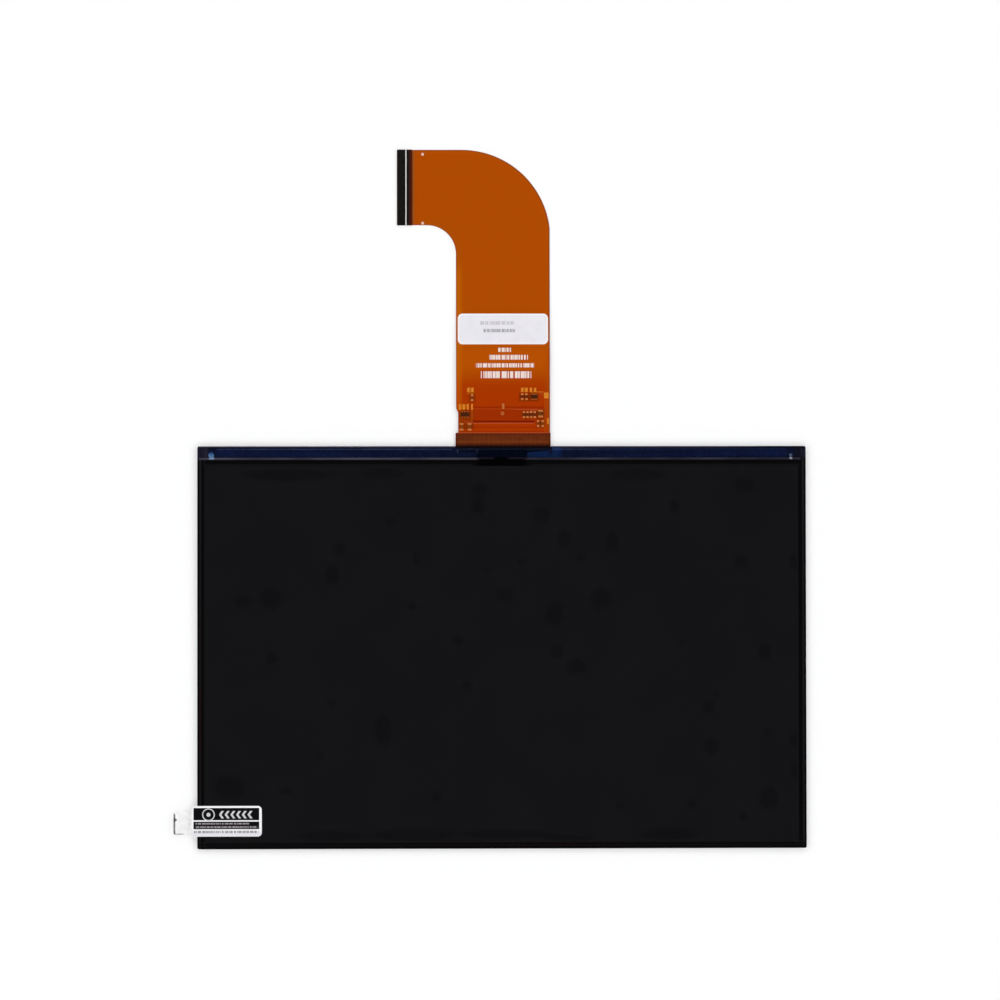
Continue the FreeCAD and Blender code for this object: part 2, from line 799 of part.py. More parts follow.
UPPER_PADS = [
    place
    for middle in (
        from_left("Sizes.upper_left_x", "Sizes.upper_y"),
        from_right("Sizes.pair_x", "Sizes.upper_y"),
        from_right("Sizes.upper_far_x", "Sizes.upper_y"),
    )
    for place in row_about(middle, "Sizes.upper_pitch", PAIR_COUNT)
]
CENTRE_PAD = from_centre("Sizes.centre_pad_x", "Sizes.centre_pad_y")
EDGE_PAD = from_right("Sizes.edge_pad_x", "Sizes.edge_pad_y")
TEST_PADS = (
    [(place, "Sizes.bar_width", "Sizes.bar_length") for place in BARS + [EDGE_PAD]]
    + [(place, "Sizes.upper_width", "Sizes.upper_length") for place in UPPER_PADS]
    + [(CENTRE_PAD, "Sizes.upper_width", "Sizes.bar_length")]
)
GROUND_PAD = (from_right("Sizes.ground_x", "Sizes.ground_y"), "Sizes.ground_width", "Sizes.ground_length")
RING = from_centre("Sizes.ring_x", "Sizes.ring_y")
MARKS = (
    (TIP + " + Sizes.mark_from_tip", TAIL_END + " - Sizes.mark_outer_edge"),
    (TIP + " + Sizes.mark_from_tip", STUB_LOW + " + Sizes.mark_inner_edge"),
)


def chip_parts():
    """Every part with a solder end at each end: its places, width and length."""
    return [
        (RESISTORS + SMALL_CAPACITORS, "Sizes.part_width", "Sizes.part_length"),
        (LARGE_CAPACITORS, "Sizes.large_width", "Sizes.large_length"),
        (COIL, "Sizes.coil_width", "Sizes.coil_length"),
    ]


def end_pads(place, width, length):
    """The two solder pads of a chip part, one under and past each of its ends."""
    x, y = place
    left, right = "%s - %s / 2" % (x, width), "%s + %s / 2" % (x, width)
    low_end, high_end = "%s - %s / 2" % (y, length), "%s + %s / 2" % (y, length)
    return [
        (left, low_end + " - Sizes.pad_out", right, low_end + " + Sizes.pad_under"),
        (left, high_end + " - Sizes.pad_under", right, high_end + " + Sizes.pad_out"),
    ]


def lead_boxes(prefix):
    """The leads of a leaded chip, in a row along each long side of its body."""
    x, y = LEADED_CHIPS[prefix]
    half = "Sizes.%s_depth / 2" % prefix
    count = int(value("Sizes.lead_count"))
    boxes = []
    for index in range(count):
        step = "%s + %.1f * Sizes.%s_pitch" % (x, index - (count - 1) / 2, prefix)
        left, right = step + " - Sizes.lead_width / 2", step + " + Sizes.lead_width / 2"
        boxes.append((left, "%s - %s - Sizes.lead_out" % (y, half), right, "%s - %s" % (y, half)))
        boxes.append((left, "%s + %s" % (y, half), right, "%s + %s + Sizes.lead_out" % (y, half)))
    return boxes


def make_solder_pads():
    """Tinned copper pads on the base film, under every part's ends and leads."""
    body = new_body("solder_pads", Z_PAD)
    for number, (places, width, length) in enumerate(chip_parts()):
        sketch = new_sketch(body, "end_pads_%d" % number)
        for place in places:
            for box in end_pads(place, width, length):
                add_outline(sketch, box_corners(*box))
        pad(body, sketch, "Sizes.cover_thick", "end_pad_group_%d" % number)
    for prefix in LEADED_CHIPS:
        sketch = new_sketch(body, prefix + "_lead_pads")
        for box in lead_boxes(prefix):
            add_outline(sketch, box_corners(*box))
        pad(body, sketch, "Sizes.cover_thick", prefix + "_lead_pad_group")
    return body


def make_test_pads():
    """Bare gold pads that no part sits on, with one ring."""
    body = new_body("test_pads", Z_PAD)
    sketch = new_sketch(body, "test_pad_plan")
    for (x, y), width, length in TEST_PADS:
        add_outline(sketch, box_corners(*centred_box(x, y, width, length)))
    pad(body, sketch, "Sizes.cover_thick", "test_pad_group")
    ring = new_sketch(body, "ring_plan")
    add_circle(ring, RING[0], RING[1], "Sizes.ring_radius")
    add_circle(ring, RING[0], RING[1], "Sizes.ring_bore")
    pad(body, ring, "Sizes.cover_thick", "ring_pad")
    return body


def make_ground_pad():
    place, width, length = GROUND_PAD
    box = centred_box(place[0], place[1], width, length)
    return add_plate("ground_pad", box, Z_PAD, "Sizes.cover_thick")[0]


def make_alignment_marks():
    """Two round marks near the connector end, in line across the tail."""
    body = new_body("alignment_marks", TAIL_BASE_TOP)
    sketch = new_sketch(body, "mark_plan")
    for x, y in MARKS:
        add_circle(sketch, x, y, "Sizes.mark_radius")
    pad(body, sketch, "Sizes.cover_thick", "marks")
    return body


def make_windows():
    """Blocks that cut the front coverlay open: one for each part, each bare pad and each mark."""
    body = new_body("cover_windows", "-Sizes.spare")
    tall = Z_PART + " + 2 * Sizes.spare"
    for number, (places, width, length) in enumerate(chip_parts()):
        sketch = new_sketch(body, "part_windows_%d" % number)
        for x, y in places:
            box = centred_box(x, y, width, length + " + 2 * Sizes.pad_out")
            add_outline(sketch, box_corners(*grow(box, "Sizes.window_gap")))
        pad(body, sketch, tall, "part_window_group_%d" % number)
    for prefix in LEADED_CHIPS:
        x, y = LEADED_CHIPS[prefix]
        reach = "Sizes.%s_depth + 2 * Sizes.lead_out" % prefix
        sketch = new_sketch(body, prefix + "_window")
        box = centred_box(x, y, "Sizes.%s_width" % prefix, reach)
        add_outline(sketch, box_corners(*grow(box, "Sizes.window_gap")))
        pad(body, sketch, tall, prefix + "_window_block")
    sketch = new_sketch(body, "pad_windows")
    for (x, y), width, length in TEST_PADS + [GROUND_PAD]:
        add_outline(sketch, box_corners(*grow(centred_box(x, y, width, length), "Sizes.window_gap")))
    for x, y in MARKS:
        add_circle(sketch, x, y, "Sizes.mark_radius + Sizes.window_gap")
    add_circle(sketch, RING[0], RING[1], "Sizes.ring_radius + Sizes.window_gap")
    pad(body, sketch, tall, "pad_window_group")
    return body


def make_chip_parts(label, groups):
    """Chip parts of one kind, one solid each, with softened corners: places, width, length, height."""
    body = new_body(label, Z_PART)
    for number, (places, width, length, height) in enumerate(groups):
        sketch = new_sketch(body, "%s_plan_%d" % (label, number))
        for x, y in places:
            add_outline(sketch, box_corners(*centred_box(x, y, width, length)))
        last = pad(body, sketch, height, "%s_group_%d" % (label, number))
    round_corners(body, last, "Sizes.chip_edge")
    return body


def make_leaded_chip(prefix):
    """A moulded chip that stands on flat leads along its two long sides."""
    label = prefix + "_chip"
    body = new_body(label, Z_PART)
    x, y = LEADED_CHIPS[prefix]
    sketch = new_sketch(body, label + "_plan")
    box = centred_box(x, y, "Sizes.%s_width" % prefix, "Sizes.%s_depth" % prefix)
    add_outline(sketch, box_corners(*box))
    moulding = pad(body, sketch, "Sizes.chip_height", label + "_moulding")
    round_corners(body, moulding, "Sizes.chip_edge")
    leads = new_sketch(body, label + "_leads")
    for lead in lead_boxes(prefix):
        add_outline(leads, box_corners(*lead))
    pad(body, leads, "Sizes.lead_thick", label + "_lead_row")
    return body


# Pull tab


def make_pull_tab():
    """Clear strip for peeling the front film: stuck to the film, and free past the panel's edge."""
    left = LEFT + " - Sizes.tab_overhang"
    centre_y = FOOT + " + Sizes.tab_from_foot"
    box = (
        left,
        centre_y + " - Sizes.tab_height / 2",
        left + " + Sizes.tab_length",
        centre_y + " + Sizes.tab_height / 2",
    )
    body, strip = add_plate("pull_tab", box, Z_TAB, "Sizes.tab_thick")
    round_corners(body, strip, "Sizes.tab_corner")
    return body


def make_pull_tab_sticker():
    left = LEFT + " - Sizes.sticker_overhang"
    centre_y = FOOT + " + Sizes.tab_from_foot + Sizes.sticker_rise"
    box = (
        left,
        centre_y + " - Sizes.sticker_height / 2",
        left + " + Sizes.sticker_length",
        centre_y + " + Sizes.sticker_height / 2",
    )
    body, print_pad = add_plate("pull_tab_sticker", box, Z_STICKER, "Sizes.sticker_thick")
    round_corners(body, print_pad, "Sizes.sticker_corner")
    return body


def make_panel():
    """Every sub-part, from the surface up and then out along the tail."""
    parts = list(make_polariser_stack())
    parts += [make_counter_glass(), make_border_mask(), make_seal_frame(), make_liquid_crystal()]
    parts += [make_array_glass(), make_ledge_wiring(), make_driver_chip(), *make_bond_films()]
    parts += [make_ledge_coating(), make_light_shield_tape(), make_ground_paste_dots()]
    parts += [make_base_film(), make_front_coverlay(make_windows()), make_rear_coverlay()]
    parts += [make_bond_fingers(), make_contact_fingers(), make_stiffener(), make_insertion_line()]
    parts += [make_tail_label(), make_solder_pads(), make_test_pads(), make_ground_pad()]
    parts += [make_alignment_marks()]
    part_sizes = ("Sizes.part_width", "Sizes.part_length", "Sizes.part_height")
    large_sizes = ("Sizes.large_width", "Sizes.large_length", "Sizes.large_height")
    coil_sizes = ("Sizes.coil_width", "Sizes.coil_length", "Sizes.coil_height")
    parts += [
        make_chip_parts("resistors", [(RESISTORS, *part_sizes)]),
        make_chip_parts("small_capacitors", [(SMALL_CAPACITORS, *part_sizes)]),
        make_chip_parts("large_capacitors", [(LARGE_CAPACITORS, *large_sizes)]),
        make_chip_parts("power_coil", [(COIL, *coil_sizes)]),
    ]
    parts += [make_leaded_chip(prefix) for prefix in LEADED_CHIPS]
    parts += [make_pull_tab(), make_pull_tab_sticker()]
    return parts


panel = make_panel()
doc.recompute()

for item in doc.Objects:
    if "Invalid" in item.State or "Error" in item.State:
        raise RuntimeError("%s failed to build: %s" % (item.Name, item.State))
for item in panel:
    if item.Shape.isNull() or not item.Shape.isValid():
        raise RuntimeError("%s has no valid shape" % item.Label)

os.makedirs("parts", exist_ok=True)
for item in panel:
    item.Shape.exportStep(os.path.join("parts", item.Label + ".step"))
    solids = item.Shape.Solids
    print("%s: %d solids, %.3f cubic mm" % (item.Label, len(solids), sum(solid.Volume for solid in solids)))
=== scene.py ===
import math

import bmesh
import bpy
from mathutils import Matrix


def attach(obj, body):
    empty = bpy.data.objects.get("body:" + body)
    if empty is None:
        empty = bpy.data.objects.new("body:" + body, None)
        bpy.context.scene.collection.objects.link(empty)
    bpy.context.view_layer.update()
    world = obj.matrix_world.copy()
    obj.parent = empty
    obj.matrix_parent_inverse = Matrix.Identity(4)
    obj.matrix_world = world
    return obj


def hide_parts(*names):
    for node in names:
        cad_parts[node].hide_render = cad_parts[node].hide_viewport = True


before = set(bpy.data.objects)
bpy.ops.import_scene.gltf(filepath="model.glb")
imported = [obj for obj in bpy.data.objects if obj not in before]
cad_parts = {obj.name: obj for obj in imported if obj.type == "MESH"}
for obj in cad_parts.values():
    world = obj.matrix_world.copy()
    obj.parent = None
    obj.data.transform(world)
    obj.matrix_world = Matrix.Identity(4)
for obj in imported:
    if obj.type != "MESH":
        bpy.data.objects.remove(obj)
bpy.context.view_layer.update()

# Camera. The panel is seen from straight above through a long lens, a degree off the upright,
# which is why its foot looks a little wider than its head.
MM = 0.001
lens = bpy.data.cameras.new("camera")
lens.sensor_width = 36
lens.lens = 129.087
camera = bpy.data.objects.new("camera", lens)
camera.location = (-20.88 * MM, 27.98 * MM, 1200 * MM)
camera.rotation_euler = [math.radians(turn) for turn in (1.015, -0.965, -0.075)]
bpy.context.scene.collection.objects.link(camera)
bpy.context.scene.camera = camera
bpy.context.scene.view_settings.view_transform = "Standard"


# Shader maths, as plain sums: a Signal is what runs along a link, and a Finish is one material.
class Signal:
    """A number on its way through a finish. Sums and comparisons add the nodes they need."""

    def __init__(self, finish, socket):
        self.finish = finish
        self.socket = socket

    def math(self, operation, other=0.0, clamp=False):
        return self.finish.node("Math", {0: self, 1: other}, operation=operation, use_clamp=clamp)

    def __add__(self, other):
        return self.math("ADD", other)

    def __sub__(self, other):
        return self.math("SUBTRACT", other)

    def __mul__(self, other):
        return self.math("MULTIPLY", other)

    def __truediv__(self, other):
        return self.math("DIVIDE", other)

    def __rsub__(self, other):
        return self.finish.node("Math", {0: other, 1: self}, operation="SUBTRACT")

    def __rtruediv__(self, other):
        return self.finish.node("Math", {0: other, 1: self}, operation="DIVIDE")

    def __abs__(self):
        return self.math("ABSOLUTE")

    __radd__, __rmul__ = __add__, __mul__

    def rise(self, low, high):
        """0 below low, 1 above high, and a smooth step between them."""
        sockets = {"Value": self, "From Min": low, "From Max": high}
        return self.finish.node("MapRange", sockets, interpolation_type="SMOOTHSTEP")

    def band(self, low, high, soft=0.02):
        """1 between low and high, with soft ends."""
        return self.rise(low - soft, low + soft) * (1 - self.rise(high - soft, high + soft))


class Finish:
    """One material: a Principled surface and the nodes that vary it over the piece."""

    def __init__(self, name, sky=None):
        self.material = sky or bpy.data.materials.new(name)
        self.material.use_nodes = True
        self.tree = self.material.node_tree
        self.surface = self.tree.nodes["Background" if sky else "Principled BSDF"]

    def feed(self, socket, given):
        if isinstance(given, Signal):
            self.tree.links.new(given.socket, socket)
        elif socket.type == "RGBA":
            socket.default_value = (*given, 1)
        else:
            socket.default_value = given

    def node(self, kind, sockets, out=0, **settings):
        made = self.tree.nodes.new("ShaderNode" + kind)
        for name, setting in settings.items():
            setattr(made, name, setting)
        for name, given in sockets.items():
            self.feed(made.inputs[name], given)
        return Signal(self, made.outputs[out])

    def mix(self, share, first, second):
        """The first colour where share is 0, and the second where it is 1."""
        return self.node("Mix", {0: share, 6: first, 7: second}, out=2, data_type="RGBA")

    def place(self):
        """Where a point is on the object, in millimetres along X and Y."""
        spot = self.node("TexCoord", {}, out=3)
        return [self.node("SeparateXYZ", {0: spot}, out=axis) * (1 / MM) for axis in range(2)]

    def noise(self, size, detail=3.0, stretch=(1, 1, 1)):
        """Cloudy 0 to 1, with features of about this size in millimetres."""
        spot = self.node("TexCoord", {}, out=3)
        stretched = self.node("VectorMath", {0: spot, 1: stretch}, operation="MULTIPLY")
        return self.node("TexNoise", {"Vector": stretched, "Scale": 1 / (size * MM), "Detail": detail})

    def upward(self):
        """1 on faces that look up, 0 on upright ones and -1 on faces that look down."""
        normal = self.node("NewGeometry", {}, out=1)
        return self.node("SeparateXYZ", {0: normal}, out=2)

    def sides(self):
        """1 on faces that stand upright, and 0 on faces that lie flat."""
        return 1 - abs(self.upward()).rise(0.3, 0.7)

    def bump(self, height, depth, strength=1.0):
        """Relief of this depth in millimetres."""
        sockets = {"Height": height, "Distance": depth * MM, "Strength": strength}
        return self.node("Bump", sockets)

    def set(self, **sockets):
        for name, given in sockets.items():
            self.feed(self.surface.inputs[name.replace("_", " ")], given)
        return self

    def on(self, *nodes):
        """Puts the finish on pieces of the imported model."""
        for name in nodes:
            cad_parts[name].data.materials.clear()
            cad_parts[name].data.materials.append(self.material)
        return self


def colour(red, green, blue):
    """A colour as a screen shows it, 0 to 255, turned into an amount of light."""
    shares = [channel / 255 for channel in (red, green, blue)]
    return tuple(s / 12.92 if s < 0.04045 else ((s + 0.055) / 1.055) ** 2.4 for s in shares)


def scaled(base, factor):
    return tuple(min(channel * factor, 1.0) for channel in base)


def mottled(finish, base, spread, size, detail=4.0):
    """The base colour, lighter and darker by a share in soft patches of this size."""
    patches = finish.noise(size, detail).rise(0.3, 0.7)
    return finish.mix(patches, scaled(base, 1 - spread), scaled(base, 1 + spread))


# Floor and light. A plain white table, lit by four wide soft lamps, one past each edge of the panel.
# The sky is white low down and nearly dark overhead, so the glass stays black as it faces up.
FLOOR_HALF = 20.0
floor_mesh = bpy.data.meshes.new("floor")
floor_corners = [(x * FLOOR_HALF, y * FLOOR_HALF, 0) for x, y in ((-1, -1), (1, -1), (1, 1), (-1, 1))]
floor_mesh.from_pydata(floor_corners, [], [(0, 1, 2, 3)])
floor = bpy.data.objects.new("floor", floor_mesh)
bpy.context.scene.collection.objects.link(floor)
white_floor = Finish("white_floor")
rays = ("Is Camera Ray", "Is Glossy Ray", "Is Transmission Ray")
direct = sum(white_floor.node("LightPath", {}, out=ray) for ray in rays)
white_floor.set(Base_Color=(0.82, 0.82, 0.82), Roughness=0.9, Specular_IOR_Level=0.1)
white_floor.set(Emission_Color=white_floor.mix(direct, (0, 0, 0), (1, 1, 1)), Emission_Strength=0.24)
floor_mesh.materials.append(white_floor.material)

bpy.context.scene.world = bpy.data.worlds.new("sky")
sky = Finish("sky", bpy.context.scene.world)
direction = sky.node("TexCoord", {}, out="Generated")
overhead = sky.node("SeparateXYZ", {0: direction}, out=2).rise(0.05, 0.55)
sky.set(Color=sky.mix(overhead, (1, 1, 1), (0.055, 0.055, 0.058)))

LAMP_REACH = 1.2
LAMP_HEIGHT = 0.95
for side, (x, y) in {"left": (-1, 0), "right": (1, 0), "head": (0, 1), "foot": (0, -1)}.items():
    light = bpy.data.lights.new("lamp_" + side, "AREA")
    light.shape = "RECTANGLE"
    light.size, light.size_y = 1.1, 0.7
    light.energy = 8.1
    lamp = bpy.data.objects.new("lamp_" + side, light)
    lamp.location = (x * LAMP_REACH, y * LAMP_REACH + 0.05, LAMP_HEIGHT)
    aim = -lamp.location
    lamp.rotation_euler = aim.to_track_quat("-Z", "Y").to_euler()
    lamp.visible_camera = False
    bpy.context.scene.collection.objects.link(lamp)


# Rear film and rear polariser. The polariser is a dark plastic sheet glued to the counter glass, and
# the film over it is the thin clear skin that it is delivered with. The panel lies on this film.
rear_film = Finish("rear_clear_film")
scuffs = rear_film.noise(6, 6, (1, 4, 1)).rise(0.52, 0.72)
rear_film.set(Base_Color=rear_film.mix(scuffs, colour(22, 22, 27), colour(44, 44, 50)))
rear_film.set(Roughness=0.12 + 0.2 * scuffs, Normal=rear_film.bump(rear_film.noise(9, 2), 0.02))
rear_film.on("rear_protective_film")

polariser = Finish("dark_polariser")
grain = polariser.noise(4, 3)
polariser.set(Base_Color=mottled(polariser, colour(12, 12, 15), 0.15, 14), Specular_IOR_Level=0.42)
polariser.set(Roughness=0.2 + 0.06 * grain, Normal=polariser.bump(grain, 0.004))
polariser.on("rear_polariser", "front_polariser")

# Glass cell. Two panes of thin display glass, joined by a line of sealant with the crystal layer in
# between. The rear pane carries a printed black border, and is shorter, so the front one makes a ledge.
LEDGE_EDGE = 63.2
PANEL_SIDE, PANEL_END = 101.75, 67.2

counter = Finish("counter_glass")
cut_edge = counter.sides()
edge_green = mottled(counter, colour(52, 70, 66), 0.25, 3)
face_black = mottled(counter, colour(10, 11, 14), 0.2, 8)
counter.set(Base_Color=counter.mix(cut_edge, face_black, edge_green), Roughness=0.06 + 0.3 * cut_edge)
counter.set(Normal=counter.bump(counter.noise(0.3, 5) * cut_edge, 0.01))
counter.on("counter_glass")

mask = Finish("black_mask")
mask.set(Base_Color=mottled(mask, colour(10, 10, 12), 0.2, 2), Roughness=0.4 + 0.1 * mask.noise(0.5))
mask.on("border_mask")

seal = Finish("seal_glue")
beads = seal.noise(0.12, 1).rise(0.55, 0.65)
seal.set(Base_Color=seal.mix(beads, colour(70, 66, 58), colour(120, 114, 102)), Roughness=0.35)
seal.set(Normal=seal.bump(beads, 0.005)).on("seal_frame")

crystal = Finish("crystal_layer")
crystal.set(Base_Color=mottled(crystal, colour(58, 64, 52), 0.1, 5), Roughness=0.1 + 0.05 * crystal.noise(1))
crystal.on("liquid_crystal")

# Front pane. Over the ledge it is bare, and shows the tracks and the blue coating under it. Inwards
# it has the black border behind it, with the paler line of sealant just inside its cut edge.
array = Finish("array_glass")
x, y = array.place()
cut_edge = array.sides()
from_side = PANEL_SIDE - abs(x)
from_foot = y + PANEL_END
ledge = y.rise(LEDGE_EDGE + 0.1, LEDGE_EDGE + 0.35)
# Over the driver chip, where its black tape keeps light from below out: the mask for painted shade
middle = (1 - abs(x).rise(7.0, 8.9)) * y.band(58.5, 65.9, 0.3)
# Where the border stands behind the glass: sealant, the black next to the films, and their edges
sealant = from_side.band(0.6, 1.3, 0.12) + from_foot.band(1.05, 1.35, 0.1) * from_side.rise(1.0, 1.4)
warm = array.noise(40, 2, (0.2, 1, 1)).rise(0.4, 0.6) * (1 - y.rise(-10, 20)) * (1 - x.rise(85, 95))
cool = array.mix(y.rise(30, 55) * from_side.rise(0, 2), colour(23, 23, 25), colour(30, 30, 32))
line_colour = array.mix(warm, array.mix(from_foot.rise(2, 3), colour(18, 17, 18), cool), colour(30, 14, 12))
head_band = y.rise(60.0, 60.4) * abs(x).rise(8.5, 11)
beside_film = (1 - y.rise(61.15, 61.4)) * head_band * from_side.rise(2.1, 2.3)
beside_film = beside_film + y.band(-65.3, -64.8, 0.05) + from_side.band(2.2, 2.7, 0.05) * (1 - x.rise(-1, 1))
inner_border = (head_band + from_side.rise(1.3, 1.5)).math("MINIMUM", 1.0)
border = array.mix(inner_border, colour(2, 2, 3), colour(7, 7, 8))
border = array.mix(beside_film.math("MINIMUM", 1.0), border, colour(18, 18, 19))
border = array.mix(sealant.math("MINIMUM", 1.0), border, line_colour)
# The rear pane's cut edge shines through as a pale line along the ledge
edge_line = y.band(LEDGE_EDGE - 0.5, LEDGE_EDGE + 0.28, 0.2) * x.band(-101.3, 100.0, 0.3)
glint = array.noise(20, 2, (1, 0.1, 1)).rise(0.35, 0.65)
line_dull = array.mix(x.rise(-60, 60), colour(46, 43, 56), colour(35, 32, 42))
line_bright = array.mix(x.rise(-60, 60), colour(70, 68, 80), colour(54, 52, 64))
border = array.mix(edge_line, border, array.mix(glint, line_dull, line_bright))
# The ledge: the pane's own rim, shade beside the tail, two pale ticks and clear glass at the ends
rim = y.rise(66.72, 66.86)
rim_colour = array.mix(x.rise(70, 90), colour(56, 54, 68), colour(12, 10, 22))
rim_colour = array.mix(x.band(-15.7, 16.4, 0.3), rim_colour, colour(20, 5, 4))
beside_tail = abs(x - 0.4).band(15.5, 16.4, 0.1) * y.rise(64.6, 65.0)
ticks = (x.band(-15.0, -14.65, 0.12) + x.band(-8.45, -8.15, 0.12)) * y.band(64.9, 66.3, 0.3)
bare_glass = array.mix(beside_tail, colour(3, 8, 24), colour(14, 21, 46))
bare_glass = array.mix(abs(x).rise(100.4, 100.8), bare_glass, colour(30, 28, 42))
bare_glass = array.mix(ticks, bare_glass, colour(48, 58, 82))
face = array.mix(ledge, border, array.mix(rim, bare_glass, rim_colour))
# Painted shade over the driver chip: black on the border and dark navy on the ledge, where its tape keeps
# light out
face = array.mix(middle, face, array.mix(y.rise(63.4, 63.7), (0, 0, 0), colour(1, 6, 20)))
# Painted light: a faint line where the rear pane's cut edge still catches a little light over the chip
faint_lit_line = y.band(62.9, 63.45, 0.2) * abs(x + 0.3).band(2.4, 8.0, 0.8)
face = array.mix(faint_lit_line * 0.8, face, colour(32, 24, 38))
# Painted highlights: bright spots where the ends of the silver paste meet the rear pane's cut edge
paste_highlight = (x.band(-97.8, -96.2, 0.4) + x.band(96.4, 97.2, 0.25)) * y.band(62.85, 63.6, 0.2)
face = array.mix(paste_highlight, face, array.mix(x.rise(-1, 1), colour(118, 146, 182), colour(152, 154, 174)))
array.set(Base_Color=array.mix(cut_edge, face, mottled(array, colour(66, 88, 84), 0.25, 3)))
window = ledge * (1 - cut_edge) * (1 - middle) * from_side.rise(0.87, 1.0) * (1 - rim)
window = window * (1 - 0.9 * beside_tail) * (1 - 0.6 * ticks)
array.set(Alpha=1 - 0.8 * window, Specular_IOR_Level=0.2)
array.set(Roughness=0.04 + 0.3 * cut_edge, Normal=array.bump(array.noise(0.3, 5) * cut_edge, 0.01))
array.on("array_glass")


# Front film. A clear skin over the polariser, with air trapped under it in flat blisters. Each blister
# lifts the film by a few hundredths of a millimetre, and looks a shade darker than the rest.
def join_piece(name, vertices, faces, slot, *finishes):
    """A mesh from corners in millimetres, riding on the panel with the finishes it is given."""
    mesh = bpy.data.meshes.new(name)
    mesh.from_pydata([(x * MM, y * MM, z * MM) for x, y, z in vertices], [], faces)
    mesh.update()
    piece = bpy.data.objects.new(name, mesh)
    bpy.context.scene.collection.objects.link(piece)
    for finish in finishes:
        mesh.materials.append(finish.material)
    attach(piece, "root")
    return piece


FILM_LEFT, FILM_LOW, FILM_RIGHT, FILM_HIGH = -99.2, -64.9, 99.2, 60.6
FILM_TOP, FILM_UNDER = 1.43, 1.373
COLUMNS, ROWS = 160, 102
# Blisters: centre, half width and half height
BLISTERS = [
    (-37.4, 42.0, 1.8, 1.8), (-54.3, 32.8, 2.0, 2.8), (-56.7, 24.3, 2.4, 4.0), (-77.1, 16.2, 3.9, 4.0),
    (-86.5, 15.2, 3.1, 2.3), (-30.1, 13.7, 1.5, 1.5), (-28.7, 29.6, 1.2, 2.8), (-7.4, 52.6, 3.2, 2.4),
    (-8.1, 47.2, 2.6, 3.0), (13.5, 44.4, 3.0, 2.9), (20.8, 36.0, 2.4, 3.2), (37.0, 35.0, 2.4, 4.1),
    (26.1, 29.7, 1.6, 1.5), (6.1, 28.4, 1.2, 1.4), (-4.6, 25.6, 1.2, 1.4), (1.1, 17.5, 3.4, 2.8),
    (33.1, 16.2, 3.8, 4.2), (17.2, 10.5, 3.4, 3.8), (18.2, 13.8, 2.1, 1.6), (18.2, -1.2, 2.4, 2.8),
    (24.8, -6.5, 3.7, 2.9), (-14.6, 2.3, 1.8, 2.0), (-11.9, -12.9, 1.7, 2.0), (57.6, 47.0, 1.9, 2.4),
    (81.2, 54.2, 3.8, 2.9), (79.9, 28.4, 2.4, 2.9), (97.6, 28.7, 1.2, 3.4), (87.8, -1.5, 2.4, 3.2),
    (59.7, 1.4, 1.3, 1.3), (71.7, -15.5, 1.5, 1.3), (69.0, -20.0, 2.2, 2.5), (69.8, -33.3, 3.0, 3.0),
    (88.9, -28.4, 1.4, 1.4), (89.1, -50.6, 3.6, 4.2), (80.5, -57.1, 1.9, 1.7), (63.1, -52.5, 1.9, 1.9),
    (39.3, -53.3, 1.8, 1.5), (-22.0, -50.0, 1.6, 2.2), (-72.0, -47.8, 3.0, 1.4), (-57.0, -18.4, 1.8, 1.7),
    (-76.9, -3.7, 1.8, 2.6), (-39.8, -27.8, 3.2, 5.8), (-61.0, -35.9, 1.4, 1.6), (97.5, -31.0, 1.2, 3.0),
    (97.5, -41.0, 1.2, 3.8), (-91.0, -46.5, 6.0, 4.6), (-72.0, 57.6, 17.0, 2.2), (-40.0, 58.0, 8.0, 2.2),
    (46.0, 57.6, 11.0, 2.2), (1.0, -62.3, 18.0, 1.6), (22.0, -63.8, 10.0, 1.2), (-30.0, -62.6, 16.0, 2.2),
    (-57.0, -62.8, 12.0, 2.0), (56.0, -62.6, 11.0, 2.2),
]


def lift(x, y):
    """How far the film stands off the polariser at a place, as a share of a full blister."""
    total = 0.0
    for centre_x, centre_y, half_x, half_y in BLISTERS:
        away = ((x - centre_x) / half_x) ** 2 + ((y - centre_y) / half_y) ** 2
        total = max(total, math.exp(-1.6 * away**1.5))
    return total


film_grid = []
for row in range(ROWS + 1):
    for column in range(COLUMNS + 1):
        x = FILM_LEFT + (FILM_RIGHT - FILM_LEFT) * column / COLUMNS
        y = FILM_LOW + (FILM_HIGH - FILM_LOW) * row / ROWS
        inside = 0 < column < COLUMNS and 0 < row < ROWS
        film_grid.append((x, y, lift(x, y) if inside else 0.0))
BLISTER_HEIGHT = 0.045
film_corners = [(x, y, FILM_TOP + BLISTER_HEIGHT * rise) for x, y, rise in film_grid]
film_corners += [(x, y, FILM_UNDER + BLISTER_HEIGHT * rise) for x, y, rise in film_grid]
across, layer = COLUMNS + 1, len(film_grid)
film_faces = []
for row in range(ROWS):
    for column in range(COLUMNS):
        first = row * across + column
        square = (first, first + 1, first + across + 1, first + across)
        film_faces += [square, tuple(layer + corner for corner in reversed(square))]
rim = list(range(across)) + [(row + 1) * across + COLUMNS for row in range(ROWS)]
rim += [ROWS * across + column for column in reversed(range(COLUMNS))]
rim += [row * across for row in reversed(range(1, ROWS))]
for first, second in zip(rim, rim[1:] + rim[:1]):
    film_faces.append((first, layer + first, layer + second, second))
clear = Finish("clear_film")
blister = clear.node("Attribute", {}, out="Fac", attribute_name="blister")
haze = clear.noise(30, 3).rise(0.2, 0.8)
clear_colour = clear.mix(haze, colour(30, 30, 32), colour(33, 33, 35))
clear.set(Base_Color=clear.mix(blister.rise(0.05, 0.6), clear_colour, colour(22, 22, 24)), Alpha=0.2)
clear.set(Roughness=0.08 + 0.05 * haze, Normal=clear.bump(clear.noise(18, 2), 0.03))
film = join_piece("front_film", film_corners, film_faces, "clear_film", clear)
lifted = film.data.attributes.new("blister", "FLOAT", "POINT")
lifted.data.foreach_set("value", [rise for _, _, rise in film_grid] * 2)
film.data.polygons.foreach_set("use_smooth", [True] * len(film.data.polygons))
film.data.set_sharp_from_angle(angle=math.radians(30))
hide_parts("front_protective_film")


